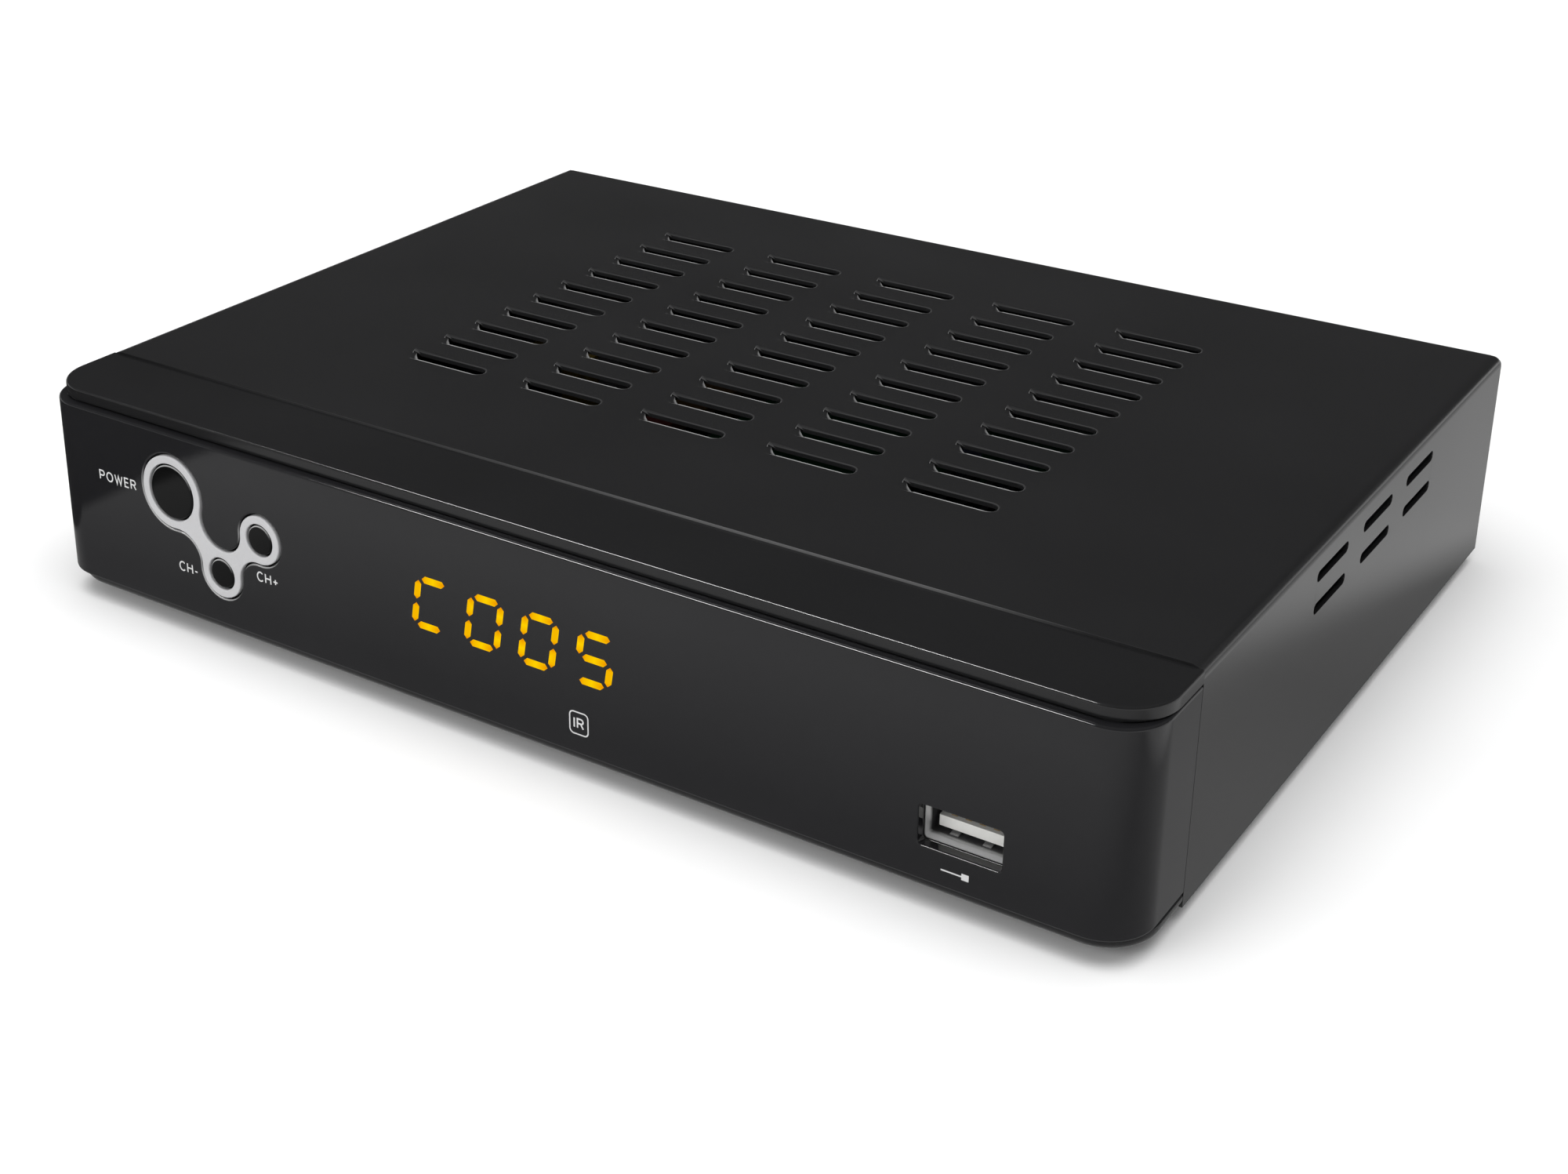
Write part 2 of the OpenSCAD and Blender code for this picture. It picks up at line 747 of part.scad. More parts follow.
// Screws that hold the front board to the bezel
module front_board_screws() color("silver") placed() {
    for (at = front_screws) translate([at[0], front_board_y + board_t, at[1]]) rotate([-90, 0, 0])
        screw(front_screw_l);
}

// Display housing in the bezel's window
module led_display() color("#e8e4d8") placed()
    box([-display_half, display_front, display_z - display_up],
        [display_half, front_board_y, display_z + display_up]);

// Lit bars, flush with the fascia
module lit_segments() color("#ffb400") placed() along_y(-fascia_d, bar_depth - fascia_d) display_bars();

// Infrared eye with a round lens, on the front board's lower edge
module remote_eye() color("#24160f") placed() {
    box([eye_x - eye_half, front_board_y - eye_d, eye_z - eye_half],
        [eye_x + eye_half, front_board_y, eye_z + eye_half + eye_brow]);
    rod_y([eye_x, eye_z], eye_r, panel_gap - cavity_d, front_board_y - eye_d);
}

// Steel shell of the port, open at the front
module usb_shell() color("#c9ccd0") placed() difference() {
    along_y(usb_front, usb_front + usb_l) translate([usb_x, usb_z]) round_box(usb_w, usb_h, usb_shell_r);
    along_y(usb_front - cut, usb_front + usb_l - usb_sheet) translate([usb_x, usb_z])
        square([usb_w, usb_h] - 2 * usb_sheet * [1, 1], center = true);
}

// Insulator of the port: a tongue in the lower half and a block at the back
module usb_tongue() color("#d6d6d2") placed() {
    end = usb_front + usb_l - usb_sheet;
    box([usb_x - usb_tongue_w / 2, usb_tongue_front, usb_tongue_top - usb_tongue_t],
        [usb_x + usb_tongue_w / 2, end, usb_tongue_top]);
    along_y(end - usb_base, end) translate([usb_x, usb_z])
        square([usb_w, usb_h] - 2 * (usb_sheet + fit_gap) * [1, 1], center = true);
}

// Four contact strips on the tongue
module usb_contacts() color("#caa24a") placed() {
    for (i = [-1.5, -0.5, 0.5, 1.5]) translate([usb_x + i * contact_step - contact_w / 2, 0, 0])
        box([0, usb_tongue_front + contact_in, usb_tongue_top],
            [contact_w, usb_front + usb_l - usb_sheet - usb_base, usb_tongue_top + contact_t]);
}

// Main board with a nose that carries the port
module main_board() color("#10301d") placed() difference() {
    union() {
        box([main_left, main_front, board_z], [board_right, main_back, board_top]);
        box([usb_x - nose_half, -nose_d, board_z], [usb_x + nose_half, main_front + cut, board_top]);
    }
    for (at = main_screws) translate([at[0], at[1], board_z - cut])
        cylinder(h = board_t + 2 * cut, r = shank_d / 2 + panel_gap);
}

// Threaded posts between the tray and the two boards
module standoffs() color("#c8b06a") placed() {
    for (at = concat(main_screws, power_screws)) translate([at[0], at[1], sheet_t]) difference() {
        cylinder(h = board_z - sheet_t, r = standoff_r);
        translate([0, 0, board_z - sheet_t - standoff_bore])
            cylinder(h = standoff_bore + cut, r = shank_d / 2 + thread_gap);
    }
}

// Screws that hold the two boards to the posts
module board_screws() color("silver") placed() {
    for (at = concat(main_screws, power_screws))
        translate([at[0], at[1], board_top]) screw(board_t + standoff_bore - cut);
}

// Flat package of the main chip
module main_chip() color("#1a1a1c") placed()
    box([chip_at[0] - chip_w / 2, chip_at[1] - chip_w / 2, board_top],
        [chip_at[0] + chip_w / 2, chip_at[1] + chip_w / 2, board_top + chip_h]);

// Finned heat sink on the main chip
module heat_sink() color("#4b4d50") placed() {
    side = chip_w + 2 * chip_sink_over;
    translate([chip_at[0] - side / 2, chip_at[1] - side / 2, board_top + chip_h]) {
        cube([side, side, chip_sink_base]);
        for (k = [0 : fins - 1]) translate([k * (side - fin_t) / (fins - 1), 0, 0])
            cube([fin_t, side, sink_h]);
    }
}

// Two memory packages left of the main chip
module memory_chips() color("#1a1a1c") placed() {
    for (at = memory_at) translate([at[0] - memory_size[0] / 2, at[1] - memory_size[1] / 2, board_top])
        cube(memory_size);
}

// Row of small capacitors behind the main chip
module small_capacitors() color("#3b3f5c") placed() {
    for (at = small_at) translate([at[0], at[1], board_top]) cylinder(h = small_h, r = small_r);
}

// Ribbon sockets on the front board's back and on the main board
module ribbon_headers() color("#e6e0d2") placed() {
    box([header_x - header_size[0] / 2, front_board_y + board_t, front_header_z - header_size[1] / 2],
        [header_x + header_size[0] / 2, front_board_y + board_t + header_size[1],
        front_header_z + header_size[1] / 2]);
    box([header_x - header_size[0] / 2, header_y, board_top],
        [header_x + header_size[0] / 2, header_y + header_size[1], board_top + header_size[2]]);
}

// Flat cable from the front board back and down to the main board
module front_ribbon() color("#5a5c60") placed() {
    start = front_board_y + board_t + header_size[1];
    middle = header_y + header_size[1] / 2;
    top = front_header_z + ribbon_t / 2;
    low = board_top + header_size[2];
    translate([header_x - ribbon_w / 2, 0, 0]) rotate([90, 0, 90]) linear_extrude(ribbon_w) polygon([
        [start, top - ribbon_t], [start, top], [middle - ribbon_run, top],
        [middle + ribbon_t / 2, top - ribbon_fall], [middle + ribbon_t / 2, low], [middle - ribbon_t / 2, low],
        [middle - ribbon_t / 2, top - ribbon_fall_in], [middle - ribbon_run_in, top - ribbon_t]]);
}

// Screened box of the tuner
module tuner_can() color("#b8bcc0") placed()
    box([tuner_right - tuner_w, socket_y - tuner_d, board_top],
        [tuner_right, socket_y, board_top + tuner_h]);

// Two threaded aerial sockets on the tuner
module antenna_sockets() color("#c9ccd0") placed() {
    for (x = antenna_x) difference() {
        union() {
            rod_y([x, antenna_z], antenna_d / 2 - shoulder, socket_y, back_y + nut_t);
            rod_y([x, antenna_z], antenna_d / 2, back_y + nut_t, rear_end);
        }
        rod_y([x, antenna_z], antenna_d / 2 - antenna_wall, socket_y + cut, rear_end + cut);
    }
}

// White insulators inside the aerial sockets, each with a hole for the plug's wire
module antenna_inserts() color("#eeeeea") placed() {
    for (x = antenna_x) difference() {
        rod_y([x, antenna_z], antenna_d / 2 - antenna_wall - fit_gap / 2, socket_y + cut,
            rear_end - antenna_insert_sunk);
        rod_y([x, antenna_z], antenna_wire_r, socket_y + 2 * cut, rear_end);
    }
}

// Hexagon nuts that hold the aerial sockets to the rear wall
module antenna_nuts() color("#b4b7ba") placed() {
    for (x = antenna_x) difference() {
        along_y(back_y, back_y + nut_t) translate([x, antenna_z]) circle(nut_r, $fn = 6);
        rod_y([x, antenna_z], antenna_d / 2 - shoulder + thread_gap, back_y - cut, back_y + nut_t + cut);
    }
}

// Body of the picture and sound sockets
module av_block() color("#1c1c1e") placed()
    box([av_x - av_half, socket_y - av_d, board_top], [av_x + av_half, socket_y, board_top + av_h]);

// Flat ring round the middle of one picture or sound socket, in x and z
module av_ring(i, outer, inner) {
    translate([av_x + i * sleeve_step, sleeve_z]) difference() {
        circle(outer);
        circle(inner);
    }
}

// Metal sleeves of the picture and sound sockets
module av_sleeves() color("#c9ccd0") placed() {
    inner = sleeve_d / 2 - sleeve_wall;
    for (i = [-1 : 1]) {
        along_y(socket_y, back_y + hub_out) av_ring(i, sleeve_d / 2 - shoulder, inner);
        along_y(back_y + hub_out, back_y + sleeve_l) av_ring(i, sleeve_d / 2, inner);
    }
}

// Insulators inside the sleeves, each with a hole for the plug's pin
module av_inserts() color("#2a2a2a") placed() {
    for (i = [-1 : 1]) along_y(socket_y, back_y + sleeve_l - insert_sunk)
        av_ring(i, sleeve_d / 2 - sleeve_wall - fit_gap / 2, plug_pin_r);
}

// Coloured collar round one sleeve
module av_hub(i) placed() along_y(socket_y, back_y + hub_out)
    av_ring(i, sleeve_d / 2 + fit_gap + hub_t, sleeve_d / 2 - shoulder + fit_gap);

module video_hub() color("#e6c21a") av_hub(-1);

module left_sound_hub() color("#eeeeea") av_hub(0);

module right_sound_hub() color("#c02020") av_hub(1);

// Steel shell of the digital picture socket
module hdmi_shell() color("#c9ccd0") placed() difference() {
    box([hdmi_x - hdmi_w / 2, back_y + hdmi_out - hdmi_l, board_top],
        [hdmi_x + hdmi_w / 2, back_y + hdmi_out, board_top + hdmi_h]);
    box([hdmi_x - hdmi_w / 2 + hdmi_sheet, back_y + hdmi_out - hdmi_l + hdmi_sheet, board_top + hdmi_sheet],
        [hdmi_x + hdmi_w / 2 - hdmi_sheet, back_y + cut, board_top + hdmi_h - hdmi_sheet]);
}

// Tongue of the digital picture socket
module hdmi_tongue() color("#161616") placed() {
    inner = back_y + hdmi_out - hdmi_l + hdmi_sheet;
    box([hdmi_x - hdmi_tongue_half, inner, board_top + hdmi_h / 2 - hdmi_tongue_t / 2],
        [hdmi_x + hdmi_tongue_half, back_y - hdmi_tongue_in, board_top + hdmi_h / 2 + hdmi_tongue_t / 2]);
    box([hdmi_x - hdmi_w / 2 + hdmi_sheet, inner, board_top + hdmi_sheet],
        [hdmi_x + hdmi_w / 2 - hdmi_sheet, inner + hdmi_base, board_top + hdmi_h - hdmi_sheet]);
}

// Two-pole mains inlet with a flange outside the rear wall
module mains_inlet() color("#141414") placed() difference() {
    union() {
        along_y(back_y, back_y + inlet_flange_t) translate([inlet_x, inlet_z])
            round_box(inlet_w, inlet_h, inlet_corner_r);
        along_y(back_y - inlet_body_d, back_y) translate([inlet_x, inlet_z])
            square([inlet_body_w, inlet_body_h], center = true);
    }
    along_y(inlet_floor, back_y + inlet_flange_t + cut) translate([inlet_x, inlet_z]) {
        for (s = [-1, 1]) translate([s * inlet_pin_step / 2, 0]) circle(inlet_round_r);
        square([inlet_pin_step, 2 * inlet_round_r - inlet_waist], center = true);
    }
    for (s = [-1, 1]) rod_y([inlet_x + s * inlet_pin_step / 2, inlet_z], inlet_pin_r,
        back_y - inlet_body_d - cut, inlet_floor + cut);
}

// Two pins of the inlet, with tabs at the back
module inlet_pins() color("#c9ccd0") placed() {
    for (s = [-1, 1]) rod_y([inlet_x + s * inlet_pin_step / 2, inlet_z], inlet_pin_r,
        back_y - inlet_body_d - inlet_tab_l, inlet_floor + inlet_pin_l);
}

// Two wires from the inlet's tabs to the power board
module mains_wires() color("#6b3f2a") placed() {
    tab = back_y - inlet_body_d - inlet_tab_l;
    turn = power_board_back - 4;
    for (s = [-1, 1]) translate([inlet_x + s * inlet_pin_step / 2, 0, 0]) {
        rod_y([0, inlet_z], wire_r, turn, tab);
        translate([0, turn, inlet_z]) sphere(wire_r);
        translate([0, turn, board_top]) cylinder(h = inlet_z - board_top, r = wire_r);
    }
}

// Board of the power supply
module power_board() color("#4a3922") placed() difference() {
    box([board_left, power_board_front, board_z], [power_board_right, power_board_back, board_top]);
    for (at = power_screws) translate([at[0], at[1], board_z - cut])
        cylinder(h = board_t + 2 * cut, r = shank_d / 2 + panel_gap);
}

// Glass fuse lying across its two clips
module fuse() color("#dfe6e6") placed()
    translate([fuse_at[0] - fuse_l / 2, fuse_at[1], board_top + fuse_up]) rotate([0, 90, 0])
        cylinder(h = fuse_l, r = fuse_r);

// Two clips that hold the fuse
module fuse_clips() color("#c9ccd0") placed() {
    for (s = [-1, 1]) difference() {
        translate([fuse_at[0] + s * (fuse_l / 2 - clip_in) - clip_w / 2, fuse_at[1] - fuse_r - clip_wall,
            board_top])
            cube([clip_w, 2 * (fuse_r + clip_wall), clip_h]);
        translate([fuse_at[0] - fuse_l, fuse_at[1], board_top + fuse_up]) rotate([0, 90, 0])
            cylinder(h = 2 * fuse_l, r = fuse_r + fit_gap / 2);
        translate([fuse_at[0] - fuse_l, fuse_at[1] - clip_mouth / 2, board_top + fuse_up])
            cube([2 * fuse_l, clip_mouth, fuse_up]);
    }
}

// Large mains capacitor
module bulk_capacitor() color("#2a2d4a") placed()
    translate([bulk_at[0], bulk_at[1], board_top]) cylinder(h = bulk_h, d = bulk_d);

// Ferrite frame of the transformer with its middle leg
module transformer_core() color("#3c3c3e") placed() translate([core_at[0], core_at[1], board_top]) {
    difference() {
        translate([-core_size[0] / 2, -core_size[1] / 2, 0]) cube(core_size);
        translate([core_leg - core_size[0] / 2, -core_size[1], core_leg])
            cube([core_size[0] - 2 * core_leg, 2 * core_size[1], core_size[2] - 2 * core_leg]);
    }
    translate([-core_leg / 2, -core_size[1] / 2, 0]) cube([core_leg, core_size[1], core_size[2]]);
}

// Taped winding round the middle leg
module transformer_winding() color("#453a16") placed() translate([core_at[0], core_at[1], board_top]) {
    window = core_size[0] / 2 - core_leg - winding_gap;
    low = core_leg + winding_gap;
    translate([0, 0, low]) linear_extrude(core_size[2] - 2 * low) difference() {
        square([2 * window, core_size[1] + 2 * winding_out], center = true);
        square([core_leg, core_size[1]] + 2 * winding_gap * [1, 1], center = true);
    }
}

// Upright cooling plate of the switching transistor
module power_heat_sink() color("#4b4d50") placed()
    translate([sink_plate_at[0] - sink_plate[0] / 2, sink_plate_at[1], board_top]) cube(sink_plate);

// Switching transistor against the cooling plate
module power_transistor() color("#1a1a1c") placed()
    translate([sink_plate_at[0] - transistor_size[0] / 2, sink_plate_at[1] - transistor_size[1], board_top])
        cube(transistor_size);

// Row of output capacitors at the power board's front
module output_capacitors() color("#3b3f5c") placed() {
    for (k = [0 : 2]) translate([output_at[0] + output_step * k, output_at[1], board_top])
        cylinder(h = output_h, r = output_r);
}

// Sockets for the leads between the power board and the main board
module harness_headers() color("#e6e0d2") placed() {
    for (x = [power_board_right - harness_header[0] - 1, main_left + 1])
        translate([x, harness_y - harness_header[1] / 2, board_top]) cube(harness_header);
}

// Flat leads that arch from the power board to the main board
module power_harness() color("#4c1515") placed() {
    left = power_board_right - 1 - harness_header[0] / 2;
    right = main_left + 1 + harness_header[0] / 2;
    low = board_top + harness_header[2];
    rise = 6;
    lead_t = 1.2;
    translate([0, harness_y + harness_w / 2, 0]) rotate([90, 0, 0]) linear_extrude(harness_w) polygon([
        [left - lead_t / 2, low], [left - lead_t / 2, low + rise - 2], [left + 2, low + rise],
        [right - 2, low + rise], [right + lead_t / 2, low + rise - 2], [right + lead_t / 2, low],
        [right - lead_t / 2, low], [right - lead_t / 2, low + rise - 2.6],
        [right - 2.6, low + rise - lead_t], [left + 2.6, low + rise - lead_t],
        [left + lead_t / 2, low + rise - 2.6], [left + lead_t / 2, low]]);
}

chassis_tray();
top_cover();
front_bezel();
front_fascia();
button_trim();
rubber_feet();
cover_screws();
bezel_screws();
power_button();
channel_down_button();
channel_up_button();
power_switch_plunger();
channel_down_plunger();
channel_up_plunger();
tact_switches();
front_board();
front_board_screws();
led_display();
lit_segments();
remote_eye();
usb_shell();
usb_tongue();
usb_contacts();
main_board();
standoffs();
board_screws();
main_chip();
heat_sink();
memory_chips();
small_capacitors();
ribbon_headers();
front_ribbon();
tuner_can();
antenna_sockets();
antenna_inserts();
antenna_nuts();
av_block();
av_sleeves();
av_inserts();
video_hub();
left_sound_hub();
right_sound_hub();
hdmi_shell();
hdmi_tongue();
mains_inlet();
inlet_pins();
mains_wires();
power_board();
fuse();
fuse_clips();
bulk_capacitor();
transformer_core();
transformer_winding();
power_heat_sink();
power_transistor();
output_capacitors();
harness_headers();
power_harness();
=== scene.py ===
"""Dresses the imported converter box: case, moulded front, buttons, digits, sockets and the stage."""

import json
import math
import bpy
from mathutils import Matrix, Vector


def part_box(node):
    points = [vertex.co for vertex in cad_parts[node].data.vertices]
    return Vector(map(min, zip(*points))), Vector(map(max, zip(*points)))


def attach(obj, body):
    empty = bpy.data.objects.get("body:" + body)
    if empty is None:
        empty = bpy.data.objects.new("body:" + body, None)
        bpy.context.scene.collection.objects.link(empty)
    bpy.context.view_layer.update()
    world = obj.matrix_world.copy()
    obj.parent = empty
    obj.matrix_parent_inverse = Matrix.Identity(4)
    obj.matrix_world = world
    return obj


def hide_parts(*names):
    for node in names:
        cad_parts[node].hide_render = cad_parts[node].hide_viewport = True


bl_info = {
    "name": "Converter box",
    "version": (1, 0, 0),
    "blender": (4, 5, 0),
    "location": "View3D > Sidebar > Converter",
    "description": "Builds the looks of a television converter box around its packed solids",
    "category": "Object",
}

from types import SimpleNamespace

import bmesh
import bpy
from bpy.props import FloatProperty, FloatVectorProperty, PointerProperty
from mathutils import Matrix, Vector

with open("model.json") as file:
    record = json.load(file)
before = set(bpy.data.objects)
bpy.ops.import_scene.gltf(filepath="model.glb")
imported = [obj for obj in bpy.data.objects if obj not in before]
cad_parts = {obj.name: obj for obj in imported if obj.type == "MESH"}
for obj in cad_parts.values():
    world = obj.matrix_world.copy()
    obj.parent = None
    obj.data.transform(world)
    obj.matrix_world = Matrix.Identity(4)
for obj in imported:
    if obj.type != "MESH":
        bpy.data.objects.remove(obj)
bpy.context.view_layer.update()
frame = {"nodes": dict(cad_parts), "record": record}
MM = 0.001
COVER_LOW, COVER_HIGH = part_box("top_cover")
FASCIA_LOW, FASCIA_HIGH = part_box("front_fascia")
BEZEL_LOW, BEZEL_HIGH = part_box("front_bezel")
TRIM_LOW, TRIM_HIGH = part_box("button_trim")


def from_seam(y):
    """A row's y in millimetres behind the cover's front edge."""
    return (y - COVER_LOW.y) / MM


def from_tray(z):
    """A row's z in millimetres above the cover's lower edge."""
    return (z - COVER_LOW.z) / MM


def centre_of(name):
    """Middle of a node's box, in millimetres from the seam and the tray."""
    low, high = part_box(name)
    mid = (low + high) / 2
    return mid.x / MM, from_seam(mid.y), from_tray(mid.z)


def size_of(name):
    """Width, depth and height of a node's box, in millimetres."""
    low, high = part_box(name)
    return [(b - a) / MM for a, b in zip(low, high)]


HALF_W = COVER_HIGH.x / MM
CASE_D = from_seam(COVER_HIGH.y)
CASE_H = from_tray(COVER_HIGH.z)
FASCIA_FRONT = from_seam(FASCIA_LOW.y)
FASCIA_Z = (from_tray(FASCIA_LOW.z), from_tray(FASCIA_HIGH.z))
TRIM_FRONT = from_seam(TRIM_LOW.y)
SEAM_BACK = from_seam(FASCIA_HIGH.y)
POWER_AT = centre_of("power_button")[::2]
DOWN_AT = centre_of("channel_down_button")[::2]
UP_AT = centre_of("channel_up_button")[::2]
USB_AT = centre_of("usb_shell")[::2]
EYE_UP = 3.0
EYE_AT = (centre_of("remote_eye")[0], from_tray(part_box("remote_eye")[0].z) + EYE_UP)
ROUND_STEPS = 5
BEND_STEPS = 8
BLACK = (0.0, 0.0, 0.0, 1.0)
WHITE = (1.0, 1.0, 1.0, 1.0)

# Vertices this close, in metres, are joined: in pieces made here, then in sheet and carried-over solids
JOIN_FINE, JOIN_WIDE = 1e-7, 1e-6


def length(title, words, value):
    """Size property, given in millimetres and kept in metres."""
    return FloatProperty(name=title, description=words, subtype="DISTANCE", unit="LENGTH",
                         default=value * MM)


def tint(title, words, value):
    """Colour property."""
    return FloatVectorProperty(name=title, description=words, subtype="COLOR", size=3, min=0.0, max=1.0,
                               default=value)


class ConverterSizes(bpy.types.PropertyGroup):
    """Sizes of the dressed pieces."""

    sheet: length("Sheet", "Thickness of the steel cover", 0.8)
    bend: length("Bend", "Outer radius of the cover's bends", 2.0)
    back_bend: length("Back bend", "Radius of the bend to the back lip", 0.9)
    vent_length: length("Vent length", "Length of a slot in the top", 18.0)
    vent_width: length("Vent width", "Width of a slot in the top", 3.4)
    vent_step_x: length("Vent columns", "Distance between columns", 26.5)
    vent_step_y: length("Vent rows", "Distance between rows", 9.4)
    vent_front: length("First row", "First row behind the front edge", 30.2)
    vent_dish: length("Vent dish", "Width of the pressed rim of a slot", 0.75)
    vent_cut: length("Vent cut", "Length of the slanted cut at a slot's left", 3.6)
    side_length: length("Side slot", "Length of a slot in the side", 14.4)
    side_width: length("Side slot width", "Width of a slot in the side", 2.0)
    side_front: length("First side slot", "First side slot behind the front edge", 53.7)
    side_step: length("Side slot step", "Distance between side slots", 21.8)
    side_drop: length("Side slot drop", "Upper side slots below the top", 5.6)
    side_rows: length("Side rows", "Distance between the two rows", 5.75)
    lip: length("Back lip", "Height of the cover's back lip", 9.0)
    fascia: length("Fascia", "Thickness of the fascia", 1.8)
    fascia_round: length("Fascia corner", "Corner radius from above", 8.3)
    ledge: length("Ledge", "Step from the fascia back to the cap", 1.6)
    cap_round: length("Cap corner", "Cap's corner radius from above", 9.0)
    cap_edge: length("Cap edge", "Rounding of the cap's upper edge", 0.5)
    foot_edge: length("Lower edge", "Rounding of the bezel's lower edge", 2.4)
    rim: length("Trim rim", "Width of the silver rim", 1.5)
    power_hole: length("Power hole", "Diameter of the power hole", 11.1)
    channel_hole: length("Channel hole", "Diameter of a channel hole", 6.3)
    long_fillet: length("Long neck", "Fillet of the long neck", 5.4)
    short_fillet: length("Short neck", "Fillet of the short neck", 4.4)
    digit_height: length("Digit height", "Between bar middles", 8.75)
    digit_width: length("Digit width", "Between bar middles", 6.2)
    digit_step: length("Digit step", "From digit to digit", 11.25)
    digit_z: length("Digit place", "Middle above the tray", 20.8)
    bar: length("Bar", "Width of a lit bar", 1.3)
    usb_width: length("Port opening", "Width of the port's opening", 13.8)
    usb_height: length("Port height", "Height of the port's opening", 6.9)
    digit_slant: FloatProperty(name="Digit slant", description="Lean of the digits", subtype="ANGLE",
                               unit="ROTATION", default=math.radians(8.8))


class ConverterColours(bpy.types.PropertyGroup):
    """Colours of the finishes."""

    cover: tint("Cover", "Satin paint of the steel", (0.012, 0.012, 0.0125))
    # Light edge colour: bare cut steel on the cover's slots, and painted highlight lines on the cover, the
    # fascia's pocket and the buttons
    bare_and_highlight: tint("Bare edge and highlight", "Cut edges of the steel and painted highlight lines", (0.5, 0.5, 0.5))
    bezel: tint("Bezel", "Black moulding", (0.010, 0.010, 0.0105))
    fascia: tint("Fascia", "Dark glossy moulding", (0.010, 0.010, 0.011))
    trim: tint("Trim", "Satin silver", (0.56, 0.56, 0.57))
    button: tint("Button", "Glossy black", (0.003, 0.003, 0.003))
    bar_middle: tint("Bar middle", "Middle of a lit bar", (1.0, 0.63, 0.0))
    bar_end: tint("Bar end", "Ends of a lit bar", (0.84, 0.29, 0.0))
    mark: tint("Mark", "Printed marks", (0.6, 0.6, 0.6))
    # Port steel is darkened as painted shade inside the port; its lips keep the bright steel colour
    steel: tint("Steel", "Tinned steel of the port, darkened as painted shade", (0.087, 0.087, 0.09))
    lip: tint("Port lip", "Bright lips of the port outside the painted shade", (0.8, 0.8, 0.8))
    nickel: tint("Nickel", "Plating of the aerial sockets", (0.62, 0.61, 0.58))
    rubber: tint("Rubber", "Dull rubber of the feet", (0.016, 0.016, 0.016))
    floor: tint("Floor", "Pale floor", (0.9, 0.9, 0.9))


def settings():
    """The scene's sizes, in millimetres, and its colours."""
    scene = bpy.context.scene
    kept = scene.converter_sizes
    digits = 4
    sizes = {name: round(getattr(kept, name) / MM, digits) for name in ConverterSizes.__annotations__}
    sizes["digit_slant"] = kept.digit_slant
    return SimpleNamespace(**sizes), scene.converter_colours


def buttons(sizes):
    """Node, body, place and diameter of the hole of each button."""
    return (("power_button", "power_key", POWER_AT, sizes.power_hole),
            ("channel_down_button", "channel_down_key", DOWN_AT, sizes.channel_hole),
            ("channel_up_button", "channel_up_key", UP_AT, sizes.channel_hole))


def place(x, y, z):
    """Millimetres from the middle, the seam and the tray to the row's metres."""
    return Vector((x * MM, COVER_LOW.y + y * MM, COVER_LOW.z + z * MM))


def upright(loop, y):
    """Places of an outline seen from the front, at a depth."""
    return [(x, y, z) for x, z in loop]


def level(loop, z):
    """Places of an outline seen from above, at a height."""
    return [(x, y, z) for x, y in loop]


def ring(bm, points):
    """New vertices at places given in millimetres."""
    return [bm.verts.new(place(*p)) for p in points]


def bridge(bm, first, second, closed=True):
    """Quads between two rows of vertices."""
    count = len(first)
    for k in range(count if closed else count - 1):
        n = (k + 1) % count
        bm.faces.new((first[k], first[n], second[n], second[k]))


def fill(bm, loops):
    """One flat face with holes, as triangles between closed loops."""
    edges = []
    for loop in loops:
        for k, vert in enumerate(loop):
            nxt = loop[(k + 1) % len(loop)]
            edges.append(bm.edges.get((vert, nxt)) or bm.edges.new((vert, nxt)))
    bmesh.ops.triangle_fill(bm, use_beauty=True, use_dissolve=False, edges=edges)


def stack(bm, rows, closed=True):
    """Rows of vertices from rows of places, bridged one after another."""
    loops = [ring(bm, row) for row in rows]
    for a, b in zip(loops, loops[1:]):
        bridge(bm, a, b, closed)
    return loops


def capped(bm, rows):
    """Closed rows, bridged one after another, with a face at both ends."""
    loops = stack(bm, rows)
    bm.faces.new(loops[0])
    bm.faces.new(list(reversed(loops[-1])))
    return loops


def as_object(name, bm, material):
    """Object of a bmesh that is done."""
    mesh = bpy.data.meshes.new(name)
    bm.to_mesh(mesh)
    bm.free()
    mesh.materials.append(material)
    obj = bpy.data.objects.new(name, mesh)
    bpy.context.collection.objects.link(obj)
    return obj


def piece(name, bm, material, body, nodes, smooth=32):
    """Turns a bmesh into an object that rides on a body and stands for nodes."""
    bmesh.ops.remove_doubles(bm, verts=bm.verts, dist=JOIN_FINE)
    bmesh.ops.recalc_face_normals(bm, faces=bm.faces)
    obj = as_object(name, bm, material)
    obj.data.shade_smooth()
    obj.data.set_sharp_from_angle(angle=math.radians(smooth))
    even_shading(obj)
    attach(obj, body)
    if nodes:
        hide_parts(*nodes)


def sheet_piece(name, bm, material, thick):
    """Open surface of bent sheet, thickened inwards, with softened cut edges."""
    obj = as_object(name, bm, material)
    obj.data.shade_smooth()
    solid = obj.modifiers.new("Sheet", "SOLIDIFY")
    solid.thickness = thick * MM
    solid.offset = -1.0
    add_bevel(obj, 0.2)
    return obj


def add_bevel(obj, width):
    """Small rounding on sharp edges, with even shading of flat faces."""
    bevel = obj.modifiers.new("Soft edges", "BEVEL")
    bevel.width = width * MM
    bevel.segments = 2
    bevel.limit_method = "ANGLE"
    bevel.angle_limit = math.radians(40)
    even_shading(obj)


def even_shading(obj):
    """Keeps wide faces flat in the light beside their rounded edges."""
    even = obj.modifiers.new("Even shading", "WEIGHTED_NORMAL")
    even.keep_sharp = True


def arc(cx, cy, radius, start, end, steps):
    """Points on an arc, both ends included, angles in degrees."""
    out = []
    for k in range(steps + 1):
        a = math.radians(start + (end - start) * k / steps)
        out.append((cx + radius * math.cos(a), cy + radius * math.sin(a)))
    return out


